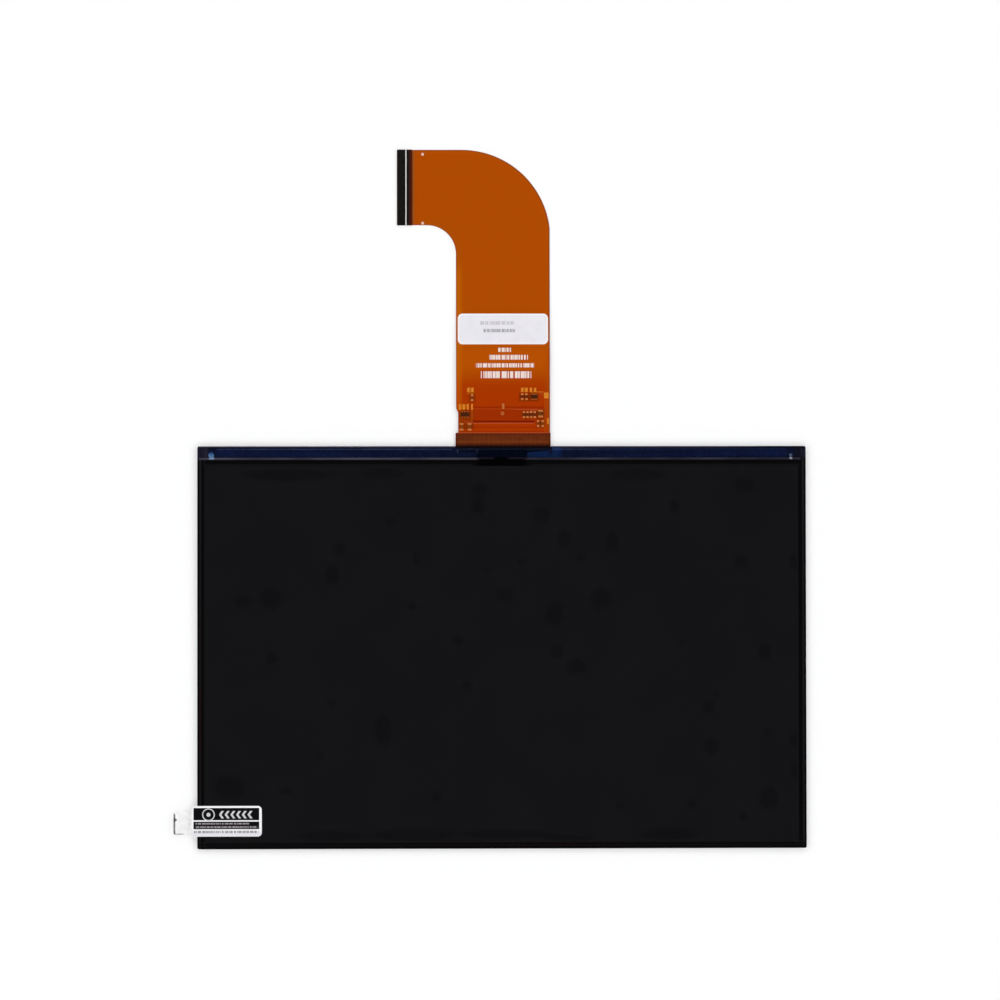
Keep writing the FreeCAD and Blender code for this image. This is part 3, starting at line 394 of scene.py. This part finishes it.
# Tracks on the ledge. Thin metal lines on the inner face of the front pane: they leave the driver chip
# at both ends, run along the ledge, and turn into the cell one after another. Others join it to the tail.
def strip(points, width, low, high):
    """Corners and faces of a thin flat line through points, as a box at each stretch."""
    vertices, faces = [], []
    for (x0, y0), (x1, y1) in zip(points, points[1:]):
        length = math.hypot(x1 - x0, y1 - y0)
        side_x, side_y = -(y1 - y0) / length * width / 2, (x1 - x0) / length * width / 2
        flat = [(x0 - side_x, y0 - side_y), (x1 - side_x, y1 - side_y)]
        flat += [(x1 + side_x, y1 + side_y), (x0 + side_x, y0 + side_y)]
        first = len(vertices)
        vertices += [(x, y, z) for z in (low, high) for x, y in flat]
        for face in ((3, 2, 1, 0), (4, 5, 6, 7), (0, 1, 5, 4), (1, 2, 6, 5), (2, 3, 7, 6), (3, 0, 4, 7)):
            faces.append(tuple(first + corner for corner in face))
    return vertices, faces


def gather(shapes):
    """Several shapes as one list of corners and one of faces."""
    vertices, faces = [], []
    for some_vertices, some_faces in shapes:
        faces += [tuple(len(vertices) + corner for corner in face) for face in some_faces]
        vertices += some_vertices
    return vertices, faces


def holed_plate(x_ends, y_ends, centre, radius, heights):
    """A flat plate with a round hole, as a ring of faces between the hole and the plate's edge."""
    turns = [math.tau * (step + 0.5) / 48 - math.pi for step in range(48)]
    turns += [math.atan2(y - centre[1], x - centre[0]) for x in x_ends for y in y_ends]
    rings = []
    for turn in sorted(turns):
        way = (math.cos(turn), math.sin(turn))
        reach = min(
            (ends[part > 0] - middle) / part
            for ends, middle, part in zip((x_ends, y_ends), centre, way)
        )
        rings.append([(centre[0] + r * way[0], centre[1] + r * way[1]) for r in (radius, reach)])
    vertices = [(x, y, z) for pair in rings for x, y in pair for z in heights]
    faces = []
    for number in range(len(rings)):
        a, b = 4 * number, 4 * ((number + 1) % len(rings))
        faces += [(a + 1, a + 3, b + 3, b + 1), (a, b, b + 2, a + 2)]
        faces += [(a, a + 1, b + 1, b), (a + 2, b + 2, b + 3, a + 3)]
    return vertices, faces


TRACK_LOW, TRACK_HIGH = 0.722, 0.738
TRACKS_A_SIDE, FIRST_TRACK_Y, TRACK_STEP = 24, 63.45, 0.1
TRACK_START, FIRST_TURN, TURNS_OVER = 7.6, 11, 83
BUS_Y, BUS_WIDTH, BUS_START, BUS_END = 66.2, 0.3, 16.6, 95.3
PLATE_START, PLATE_END, PLATE_LOW, PLATE_HIGH = 95.4, 100.9, 63.22, 66.85
FINGERS, FINGER_LEFT, FINGER_RIGHT, CHIP_HALF = 72, -14.7, 15.5, 7.0
tracks = []
for side, hole_x, hole in ((-1, 97.15, 0.97), (1, 96.75, 0.58)):
    for number in range(TRACKS_A_SIDE):
        track_y = FIRST_TRACK_Y + TRACK_STEP * number
        turn_x = FIRST_TURN + TURNS_OVER * ((number + 1) / TRACKS_A_SIDE) ** 1.1
        slant = 0.05 * number
        points = [(side * TRACK_START, track_y), (side * turn_x, track_y)]
        points.append((side * (turn_x + slant + 0.1), PLATE_LOW))
        tracks.append(strip(points, 0.06, TRACK_LOW, TRACK_HIGH))
    points = [(side * BUS_START, BUS_Y), (side * BUS_END, BUS_Y)]
    tracks.append(strip(points, BUS_WIDTH, TRACK_LOW, TRACK_HIGH))
    x_ends, y_ends = sorted((side * PLATE_START, side * PLATE_END)), (PLATE_LOW, PLATE_HIGH)
    tracks.append(holed_plate(x_ends, y_ends, (side * hole_x, 64.2), hole, (TRACK_LOW, TRACK_HIGH)))
for number in range(FINGERS):
    finger_x = FINGER_LEFT + (FINGER_RIGHT - FINGER_LEFT) * number / (FINGERS - 1)
    chip_x = -CHIP_HALF + 2 * CHIP_HALF * number / (FINGERS - 1)
    points = [(finger_x, PLATE_HIGH), (finger_x, 65.7), (chip_x, 65.1)]
    tracks.append(strip(points, 0.1, TRACK_LOW, TRACK_HIGH))
metal = Finish("track_metal")
x, y = metal.place()
plate = metal.mix(x.rise(-1, 1), colour(50, 49, 72), colour(31, 29, 50))
plate = metal.mix(x.band(-99.2, -98.6, 0.1) + x.band(100.2, 100.6, 0.1), plate, colour(66, 64, 86))
plain_metal = metal.mix(abs(x).rise(97.8, 98.4), colour(20, 32, 68), plate)
bus = abs(y - BUS_Y).band(-1, BUS_WIDTH / 2, 0.02) * (1 - abs(x).rise(BUS_END, PLATE_START))
shine = metal.noise(7, 4).rise(0.3, 0.7)
shone = metal.mix(shine, colour(70, 82, 118), colour(96, 108, 142))
track_colour = metal.mix(bus, plain_metal, metal.mix(x.rise(15, 40), shone, colour(44, 54, 96)))
metal.set(Base_Color=track_colour, Metallic=0.2, Specular_IOR_Level=0.2)
metal.set(Roughness=0.35 + 0.1 * metal.noise(0.4))
track_piece = join_piece("ledge_tracks", *gather(tracks), "track_metal", metal)
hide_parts("ledge_wiring")

# Under the ledge. A long thin driver chip is glued to the tracks, blue silicone covers the rest, and a
# black tape over the chip keeps light off it. A dot of silver paste sits at each end of the ledge.
silicon = Finish("silicon")
silicon.set(Base_Color=mottled(silicon, colour(84, 88, 98), 0.15, 0.6), Metallic=0.6)
silicon.set(Roughness=0.2 + 0.1 * silicon.noise(0.3)).on("driver_chip")
glue = Finish("bond_glue")
glue.set(Base_Color=mottled(glue, colour(8, 14, 30), 0.3, 0.3), Roughness=0.3 + 0.2 * glue.noise(0.2))
glue.on("chip_bond_film", "tail_bond_film")
silicone = Finish("blue_silicone")
x = silicone.place()[0]
thin_spot = x.band(8.4, 19.8, 0.8)
along = silicone.noise(25, 3, (1, 0.05, 1)).rise(0.35, 0.65)
run = silicone.mix(along, colour(14, 28, 74), colour(20, 38, 88))
silicone.set(Base_Color=silicone.mix(thin_spot, run, colour(30, 87, 174)))
silicone.set(Roughness=0.22 + 0.1 * silicone.noise(2), Normal=silicone.bump(silicone.noise(1.4, 2), 0.04))
silicone.on("ledge_coating")
tape = Finish("black_tape")
weave = tape.noise(0.15, 2)
tape.set(Base_Color=mottled(tape, colour(13, 13, 15), 0.25, 1), Roughness=0.5 + 0.15 * weave)
tape.set(Normal=tape.bump(weave, 0.01)).on("light_shield_tape")
paste = Finish("silver_paste")
x, y = paste.place()
flakes = paste.noise(0.2, 4).rise(0.3, 0.7)
# The left dot is lighter towards the rear pane's cut edge: a painted glow where light comes up along that
# edge
left_paste_glow = paste.mix(y.rise(63.8, 64.9), colour(138, 190, 246), colour(72, 132, 216))
paste.set(Base_Color=paste.mix(x.rise(-10, 10), left_paste_glow, colour(108, 132, 168)))
paste.set(Metallic=0.15, Roughness=0.3 + 0.3 * flakes, Normal=paste.bump(flakes, 0.02))
paste.on("ground_paste_dots")


# Flexible tail. A polyimide core with copper on it, between two orange cover films. The copper shows
# through as faint lines that follow the bend, and the margins outside the copper look lighter.
TAIL_RIGHT, TAIL_END = 16.1, 166.6
INNER_BEND, BEND_X, BEND_Y = 9.7, -25.0, 131.65
OUTER_BEND, CORNER_X, CORNER_Y = 29.6, -13.3, 137.0


def across_tail(x, y):
    """0 at the tail's inner edge and 1 at its outer edge, all the way round the bend."""
    past_x = (x - BEND_X).math("MAXIMUM", 0.0)
    past_y = (y - BEND_Y).math("MAXIMUM", 0.0)
    reach = (past_x * past_x + past_y * past_y).math("SQRT")
    right, up = past_x / reach, past_y / reach
    # The outer edge is the nearest of two straight edges and the round corner between them
    over, above = CORNER_X - BEND_X, CORNER_Y - BEND_Y
    toward = over * right + above * up
    corner = toward + (toward * toward + OUTER_BEND**2 - over**2 - above**2).math("SQRT")
    # and the corner gives way to the straight edges near both of them
    corner = corner + 1.5 * (1 - up.rise(0.02, 0.12)) + 3 * (1 - right.rise(0.2, 0.3))
    to_side = (TAIL_RIGHT - BEND_X) / right.math("MAXIMUM", 0.001)
    to_end = (TAIL_END - BEND_Y) / up.math("MAXIMUM", 0.001)
    outer = to_side.math("MINIMUM", to_end).math("MINIMUM", corner)
    return (reach - INNER_BEND) / (outer - INNER_BEND)


def amber(finish, x, y):
    """Colour of the cover film over copper, with its lighter margins, before any local marks."""
    s = across_tail(x, y)
    lane = (s * 50).math("FRACT").band(0.28, 0.72, 0.12)
    low_part = 1 - y.rise(86, 94)
    copper = finish.mix(low_part, colour(176, 71, 0), colour(168, 49, 0))
    gap = finish.mix(low_part, colour(181, 79, 0), colour(172, 55, 0))
    laned = finish.mix(lane * y.rise(88, 96) * 0.7, gap, copper)
    laned = finish.mix(y.band(75.8, 80.2, 0.8), laned, colour(160, 47, 2))
    laned = finish.mix(y.band(93, 100.5, 2) * 0.8, laned, colour(188, 84, 2))
    margin = 1 - s.band(0.06, 0.955, 0.025)
    inner_margin = finish.mix(y.rise(122, 132), colour(193, 95, 6), colour(178, 80, 6))
    inner_margin = finish.mix(low_part, inner_margin, colour(188, 78, 4))
    outer_margin = finish.mix(low_part, colour(184, 79, 3), colour(172, 65, 1))
    edge = finish.mix(margin, laned, finish.mix(s.rise(0.4, 0.6), inner_margin, outer_margin))
    very_edge = 1 - s.band(0.008, 0.985, 0.008)
    return finish.mix(very_edge * 0.7, edge, colour(132, 64, 20))


def marked(finish, base, x, y, marks):
    """The base colour with plain straight lines on it: left, low, right, high and colour."""
    for left, low, right, high, ink in marks:
        where = x.band(left, right, 0.06) * y.band(low, high, 0.06)
        base = finish.mix(where * 0.85, base, colour(*ink))
    return base


def bars(finish, x, y, rows):
    """Rows of short upright bars: low, high, left, right, and the usual width of a bar."""
    total = 0
    for low, high, left, right, size in rows:
        spacing = {"W": x * (1 / size), "Scale": 1.0, "Detail": 1.0}
        gaps = finish.node("TexNoise", spacing, noise_dimensions="1D").rise(0.4, 0.5)
        total = total + x.band(left, right, 0.05) * y.band(low, high, 0.1) * gaps
    return total


cover = Finish("orange_coverlay")
x, y = cover.place()
PALE, PINK, GOLDEN = (180, 76, 22), (184, 80, 46), (214, 128, 36)
part_marks = [
    # Darker zones round the chip parts
    (-14.6, 72.9, -9.4, 79.2, (146, 52, 2)), (5.7, 82.2, 12.3, 85.1, (136, 48, 2)),
    (11.6, 73.2, 14.3, 79.5, (138, 50, 4)), (-11.1, 82.0, -8.8, 85.1, (146, 52, 2)),
    (6.6, 76.3, 11.6, 79.2, (148, 52, 2)),
    # Lines in the copper, and glows round the pads
    (-10.3, 80.1, 14.0, 80.5, (146, 36, 0)), (-10.3, 79.6, 4.0, 79.8, PALE),
    (4.0, 79.4, 12.2, 79.65, PINK), (-9.7, 76.0, 8.6, 76.25, (160, 46, 2)),
    (-9.7, 75.15, 11.0, 75.85, (116, 20, 0)), (-9.7, 74.75, 10.9, 75.05, PINK),
    (-9.9, 73.4, 12.0, 73.7, (150, 42, 0)), (-29.9, 141, -29.2, 167, (156, 82, 34)),
    (-15.3, 71.5, 16.1, 71.95, (184, 78, 40)), (-14.6, 72.0, 15.4, 72.3, (148, 40, 0)),
    (14.3, 71.8, 14.55, 83.0, (180, 76, 10)), (9.8, 85.25, 13.9, 85.5, GOLDEN),
    (12.3, 84.6, 14.3, 84.8, PINK), (-14.4, 87.6, -14.0, 100.4, (190, 88, 4)),
    (-4.8, 88.3, 4.8, 88.5, (176, 66, 10)), (9.4, 79.1, 12.0, 79.3, PINK),
    (-14.3, 79.6, -11.9, 81.2, (206, 116, 24)), (-12.6, 75.2, -9.6, 75.4, PINK),
    (-11.5, 85.3, -9.5, 86.9, (202, 110, 26)), (6.6, 85.3, 8.5, 86.9, (202, 110, 26)),
    (-10.1, 76.2, -9.85, 79.8, (188, 92, 16)), (-11.6, 84.9, -9.2, 85.1, GOLDEN),
    (14.9, 77.6, 15.1, 82.8, PALE),
]
plain_film = amber(cover, x, y)
film_colour = marked(cover, plain_film, x, y, part_marks)
# Plain white bars, printed in four rows under the label
bar_rows = [
    (98.8, 100.2, -1.2, 3.1, 0.45), (96.2, 97.8, -4.4, 8.9, 0.5),
    (93.6, 95.0, -8.8, 10.8, 0.42), (90.0, 92.3, -7.0, 9.9, 0.75),
]
film_colour = cover.mix(bars(cover, x, y, bar_rows) * 0.9, film_colour, colour(250, 236, 230))
film_colour = cover.mix(cover.upward().rise(-0.2, 0.2), plain_film, film_colour)
cover.set(Base_Color=film_colour, Roughness=0.2 + 0.06 * cover.noise(3), Specular_IOR_Level=0.1)
ripples = cover.noise(6, 2) + 0.05 * cover.noise(0.2, 2)
cover.set(Normal=cover.bump(ripples, 0.03)).on("tail_front_coverlay", "tail_rear_coverlay")

core = Finish("orange_polyimide")
y = core.place()[1]
bare_zone = 1 - y.rise(71.6, 71.8)
# Painted shadow: the tail darkens where it runs in under the edge of the front pane
glass_edge_shadow = 1 - y.rise(66.9, 68.6)
bare_brown = core.mix(glass_edge_shadow, colour(88, 30, 4), colour(44, 10, 0))
core.set(Base_Color=core.mix(bare_zone, mottled(core, colour(160, 62, 2), 0.12, 2), bare_brown))
core.set(Roughness=0.3 + 0.1 * core.noise(1), Specular_IOR_Level=0.15)
core.set(Normal=core.bump(core.noise(0.8, 3), 0.01)).on("tail_base_film")

copper = Finish("copper")
y = copper.place()[1]
# Painted shadow: the copper darkens where it runs in under the edge of the front pane
glass_edge_shadow = 1 - y.rise(66.9, 68.6)
tarnish = mottled(copper, colour(120, 54, 14), 0.2, 1.5)
tarnish = copper.mix(y.band(68.4, 69.1, 0.15) * 0.6, tarnish, colour(146, 72, 24))
by_cover = copper.mix(y.rise(71.3, 71.5), colour(106, 42, 8), colour(160, 62, 22))
tarnish = copper.mix(y.rise(70.4, 71.1), tarnish, by_cover)
copper.set(Base_Color=copper.mix(glass_edge_shadow, tarnish, colour(50, 14, 2)), Metallic=0.15)
copper.set(Roughness=0.4 + 0.15 * copper.noise(0.6), Specular_IOR_Level=0.2).on("bond_fingers")

# Connector end. The contacts face down, bare and gold plated. A black stiffener on top brings the end
# up to the connector's thickness, with a white line for how far to push it in, and two round marks.
gold = Finish("gold_plate")
x, y = gold.place()
dull = x.band(-2, 3) * y.band(76, 83)
plated = gold.mix(dull, mottled(gold, colour(236, 142, 36), 0.12, 0.8), colour(208, 116, 58))
gold.set(Base_Color=plated, Metallic=0.2, Roughness=0.3 + 0.12 * gold.noise(0.3))
gold.set(Normal=gold.bump(gold.noise(0.15, 3), 0.002)).on("contact_fingers", "test_pads", "ground_pad")

stiffener = Finish("black_stiffener")
x = stiffener.place()[0]
glue_line = x.rise(-31.4, -29.9)
board = mottled(stiffener, colour(22, 19, 17), 0.2, 2)
stiffener.set(Base_Color=stiffener.mix(glue_line, board, colour(82, 24, 0)), Specular_IOR_Level=0.1)
stiffener.set(Roughness=0.4 + 0.1 * stiffener.noise(0.5))
stiffener.set(Normal=stiffener.bump(stiffener.noise(0.25, 3), 0.006)).on("connector_stiffener")

white_ink = Finish("white_ink")
white_ink.set(Base_Color=mottled(white_ink, colour(226, 224, 226), 0.06, 0.4))
white_ink.set(Roughness=0.5 + 0.1 * white_ink.noise(0.3)).on("insertion_line")

solder = Finish("solder")
dimples = solder.noise(0.3, 3)
bare_mark = solder.place()[1].rise(120, 130)
solder_colour = mottled(solder, colour(212, 120, 50), 0.15, 0.6)
solder.set(Base_Color=solder.mix(bare_mark, solder_colour, colour(255, 206, 184)), Metallic=0.2)
solder.set(Roughness=0.28 + 0.15 * dimples, Normal=solder.bump(dimples, 0.01))
solder.on("solder_pads", "alignment_marks")

# Label. White paper, glued on where the tail slopes down to the table. Its cut rim is brighter than
# its face, which carries two rows of faint grey bars.
paper = Finish("white_paper")
x, y = paper.place()
fibres = paper.noise(0.25, 5, (1, 2.5, 1))
face = mottled(paper, colour(241, 239, 245), 0.02, 3)
LABEL_X, LABEL_Y, LABEL_HALF_X, LABEL_HALF_Y, LABEL_CORNER = 0.4, 106.5, 15.1, 5.15, 1.6
past_x = (abs(x - LABEL_X) - (LABEL_HALF_X - LABEL_CORNER)).math("MAXIMUM", 0.0)
past_y = (abs(y - LABEL_Y) - (LABEL_HALF_Y - LABEL_CORNER)).math("MAXIMUM", 0.0)
rim = (past_x * past_x + past_y * past_y).math("SQRT").rise(LABEL_CORNER - 0.75, LABEL_CORNER - 0.35)
upper_row = bars(paper, x, y, [(107.9, 109.1, -7.2, 4.2, 0.5)])
lower_row = bars(paper, x, y, [(105.4, 106.5, -6.1, 4.4, 0.45)])
face = paper.mix(upper_row * 0.45, face, colour(150, 148, 156))
face = paper.mix(lower_row * 0.7, face, colour(120, 120, 126))
paper.set(Base_Color=paper.mix(rim, face, colour(254, 250, 250)), Roughness=0.6 + 0.1 * fibres)
paper.set(Normal=paper.bump(fibres, 0.006)).on("tail_label")


# Chip parts. Each is a small ceramic or ferrite block with a tinned cap on both ends, lying along the
# tail, and a fillet of solder runs from each cap down to its pad. They stand on the pads' tops, and
# each body stays a little inside its caps.
STAND, CAP, BODY_IN = 0.71, 0.3, 0.03


def block(x, y, width, length, height, edge):
    """Corners and faces of a box with bevelled edges, standing on the pads."""
    shape = bmesh.new()
    bmesh.ops.create_cube(shape, size=1.0)
    for corner in shape.verts:
        up = STAND + (corner.co.z + 0.5) * height
        corner.co = (x + corner.co.x * width, y + corner.co.y * length, up)
    bmesh.ops.bevel(shape, geom=shape.edges[:], offset=edge, segments=2, profile=0.5, affect="EDGES")
    shape.verts.index_update()
    vertices = [tuple(corner.co) for corner in shape.verts]
    faces = [tuple(corner.index for corner in face.verts) for face in shape.faces]
    shape.free()
    return vertices, faces


def fillet(x, y, width, out, height, direction):
    """A hollow-faced wedge of solder from a part's end down to its pad."""
    steps = 5
    profile = [(0.0, 0.0)]
    for step in range(steps + 1):
        angle = math.pi / 2 * step / steps
        profile.append((out * (1 - math.cos(angle)), height * (1 - math.sin(angle))))
    vertices = []
    for side in (-1, 1):
        vertices += [(x + side * width / 2, y + direction * along, STAND + up) for along, up in profile]
    count = len(profile)
    faces = [tuple(range(count)), tuple(reversed(range(count, 2 * count)))]
    for first in range(count):
        second = (first + 1) % count
        faces.append((first, first + count, second + count, second))
    if direction < 0:
        faces = [tuple(reversed(face)) for face in faces]
    return vertices, faces


SMALL, LARGE, COIL = (0.8, 1.6, 0.45), (1.25, 1.9, 0.6), (1.6, 1.9, 0.7)
resistor_spots = [(9.2 + 1.2 * step, 77.8) for step in (-1.5, -0.5, 0.5, 1.5)] + [(6.85, 83.8), (8.25, 83.8)]
small_spots = [(12.15, 74.8), (13.65, 74.8), (-9.95, 83.5)]
large_spots = [(-13.5, 73.7), (-10.8, 73.7)]
coil_spots = [(13.0, 78.1)]
caps, fillets = [], []


def chip_parts(name, spots, sizes, finish, slot, node):
    """Bodies of one kind of chip part. Their caps and fillets are kept for the solder pieces."""
    width, length, height = sizes
    bodies = []
    for x, y in spots:
        bodies.append(block(x, y, width - BODY_IN, length - 0.1, height - BODY_IN, 0.04))
        for end in (-1, 1):
            caps.append(block(x, y + end * (length - CAP) / 2, width, CAP, height, 0.05))
            foot_y = y + end * (length / 2 - 0.02)
            fillets.append(fillet(x, foot_y, width * 0.92, 0.33, height * 0.7, end))
    piece = join_piece(name, *gather(bodies), slot, finish)
    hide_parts(node)


ceramic_black = Finish("resistor_black")
ceramic_black.set(Base_Color=mottled(ceramic_black, colour(98, 38, 4), 0.25, 0.4), Specular_IOR_Level=0.1)
ceramic_black.set(Roughness=0.4 + 0.15 * ceramic_black.noise(0.2))
ceramic_tan = Finish("capacitor_tan")
ceramic_tan.set(Base_Color=mottled(ceramic_tan, colour(132, 62, 6), 0.15, 0.5), Specular_IOR_Level=0.1)
ceramic_tan.set(Roughness=0.45 + 0.1 * ceramic_tan.noise(0.2))
ferrite = Finish("coil_ferrite")
ferrite.set(Base_Color=mottled(ferrite, colour(108, 54, 6), 0.2, 0.3), Specular_IOR_Level=0.1)
ferrite.set(Roughness=0.55 + 0.15 * ferrite.noise(0.15))
chip_parts("resistor_bodies", resistor_spots, SMALL, ceramic_black, "resistor_body", "resistors")
chip_parts("small_capacitor_bodies", small_spots, SMALL, ceramic_tan, "capacitor_body", "small_capacitors")
chip_parts("large_capacitor_bodies", large_spots, LARGE, ceramic_tan, "capacitor_body", "large_capacitors")
chip_parts("coil_case", coil_spots, COIL, ferrite, "coil_body", "power_coil")
tin = Finish("tinned_caps")
tin_dimples = tin.noise(0.2, 3)
tin.set(Base_Color=mottled(tin, colour(216, 120, 48), 0.15, 0.5), Metallic=0.2)
tin.set(Roughness=0.3 + 0.15 * tin_dimples, Normal=tin.bump(tin_dimples, 0.01))
join_piece("part_caps", *gather(caps), "solder", tin)
join_piece("solder_fillets", *gather(fillets), "solder", solder)

# Two leaded chips. A black moulded body with sloped sides and a round dot at its first lead, and thin
# tinned leads that step down from its long sides to the pads.
moulding = Finish("chip_moulding")
speckle = moulding.noise(0.08, 3)
moulding.set(Base_Color=mottled(moulding, colour(72, 28, 2), 0.25, 0.4), Specular_IOR_Level=0.1)
moulding.set(Roughness=0.5 + 0.2 * speckle, Normal=moulding.bump(speckle, 0.004))
leads = []


def lead(x, y, width, direction):
    """One lead seen from the side: out of the body, down, and flat on its pad."""
    thick = 0.1
    line = [(-0.15, 0.3), (0.08, 0.3), (0.14, 0.12), (0.17, 0.06), (0.35, 0.06)]
    vertices = []
    for along, up in line:
        for side in (-1, 1):
            for half in (-1, 1):
                height = STAND + up + half * thick / 2
                vertices.append((x + side * width / 2, y + direction * along, height))
    faces = [(0, 1, 3, 2)]
    for first in range(0, 4 * (len(line) - 1), 4):
        for a, b in ((0, 1), (1, 3), (3, 2), (2, 0)):
            faces.append((first + a, first + b, first + b + 4, first + a + 4))
    last = 4 * (len(line) - 1)
    faces.append((last, last + 2, last + 3, last + 1))
    return vertices, faces


def leaded_chip(name, x, y, width, depth, pitch, node):
    """The moulding, its round dot, and three leads on each side."""
    height, foot = 0.55, 0.08
    layers = [(1.0, foot), (1.0, 0.3), (0.88, height - 0.03), (0.82, height)]
    vertices = []
    for share, up in layers:
        inset = (1 - share) * depth / 2
        vertices += [
            (x + sx * (width / 2 - inset), y + sy * (depth / 2 - inset), STAND + up)
            for sx, sy in ((-1, -1), (1, -1), (1, 1), (-1, 1))
        ]
    faces = [(3, 2, 1, 0), (12, 13, 14, 15)]
    for first in (0, 4, 8):
        for side in range(4):
            following = (side + 1) % 4
            faces.append((first + side, first + following, first + following + 4, first + side + 4))
    dot, steps, radius = [], 16, 0.12
    centre_x, centre_y = x - width / 2 + 0.42, y - depth / 2 + 0.42
    for up in (height, height + 0.006):
        for turn in range(steps):
            angle = math.tau * turn / steps
            dot.append((centre_x + radius * math.cos(angle), centre_y + radius * math.sin(angle), STAND + up))
    dot_faces = [tuple(range(steps, 2 * steps))]
    for turn in range(steps):
        following = (turn + 1) % steps
        dot_faces.append((turn, following, following + steps, turn + steps))
    piece = join_piece(name, *gather([(vertices, faces), (dot, dot_faces)]), "chip_moulding", moulding)
    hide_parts(node)
    for step in (-1, 0, 1):
        for end in (-1, 1):
            leads.append(lead(x + step * pitch, y + end * depth / 2, 0.3, end))


leaded_chip("regulator_moulding", -12.35, 77.85, 2.9, 1.4, 0.95, "regulator_chip")
leaded_chip("memory_moulding", 10.8, 83.8, 2.1, 1.3, 0.65, "memory_chip")
join_piece("chip_leads", *gather(leads), "solder", tin)

# Pull tab. A strip of clear plastic film stuck to the front film, with its free end past the glass. Along its
# left end and foot a thin dark line and a small wedge are painted shadow of its lifted edges and its dark cut
# edge.
tab = Finish("clear_tab")
x, y = tab.place()
mottling = tab.noise(1.6, 3).rise(0.35, 0.65)
# Painted shadow of the lifted edges with the film's dark cut edge, at the left end, the foot and a small
# wedge
left_edge_and_shadow = (1 - x.rise(-109.2, -108.9)) * y.band(-62.2, -55.3, 0.35)
foot_edge_and_shadow = (1 - y.rise(-62.05, -61.65)) * (1 - x.rise(-106.8, -105.6)) * 0.6
wedge = (1 - (x + 108.9 + 1.3 * abs(y + 57.4)).rise(0.3, 0.8)) * y.band(-58.2, -56.6, 0.2) * 0.85
edge_and_shadow = (left_edge_and_shadow * 0.85 + foot_edge_and_shadow + wedge).math("MINIMUM", 1.0)
pale = tab.mix(mottling, colour(255, 255, 255), colour(226, 224, 230))
tab.set(Base_Color=tab.mix(edge_and_shadow, pale, colour(62, 62, 66)), Specular_IOR_Level=0.25)
veil = 0.02 + 0.08 * mottling + 0.7 * edge_and_shadow
tab.set(Alpha=veil.math("MINIMUM", 0.9), Roughness=0.12 + 0.1 * mottling)
tab.set(Normal=tab.bump(mottling, 0.02)).on("pull_tab")

# Sticker on the pull tab. White plastic film printed in black, with plain shapes: a ring, a row of
# chevrons that point the way to pull, and thin rows of bars.
print_film = Finish("printed_sticker")
x, y = print_film.place()
between_ends = x.band(-103.0, -81.1, 0.05)
upper = between_ends * y.band(-57.5, -53.42, 0.05)
lower = between_ends * y.band(-60.45, -57.95, 0.05)
RING_X, RING_Y = -98.0, -55.65
ring_away = ((x - RING_X) * (x - RING_X) + (y - RING_Y) * (y - RING_Y)).math("SQRT")
ring = ring_away.band(1.75, 2.1, 0.06) + (1 - ring_away.rise(0.6, 0.75))
chevrons = ((x + abs(y - RING_Y) * -0.7) / 1.9).math("FRACT").band(0.25, 0.68, 0.06)
chevrons = chevrons * x.band(-94.4, -83.3, 0.1) * y.band(-56.9, -54.4, 0.06)
light_bars = [(-58.9, -58.4, -102.4, -84.4, 0.5), (-60.05, -59.5, -102.4, -81.8, 0.45)]
light_rows = bars(print_film, x, y, light_bars)
grey_row = bars(print_film, x, y, [(-61.8, -61.0, -102.8, -81.4, 0.5)])
ink_black = colour(9, 8, 12)
film_white = print_film.mix(y.rise(-62.4, -59.5), colour(236, 235, 240), colour(255, 254, 255))
base = print_film.mix((upper + lower).math("MINIMUM", 1.0), film_white, ink_black)
base = print_film.mix((ring + chevrons * upper).math("MINIMUM", 1.0), base, colour(212, 212, 216))
base = print_film.mix(light_rows * 0.85, base, colour(176, 170, 174))
base = print_film.mix(grey_row * 0.8, base, colour(128, 126, 134))
print_film.set(Base_Color=base, Roughness=0.28 + 0.08 * print_film.noise(1.5), Specular_IOR_Level=0.2)
print_film.set(Normal=print_film.bump(print_film.noise(5, 2), 0.02)).on("pull_tab_sticker")
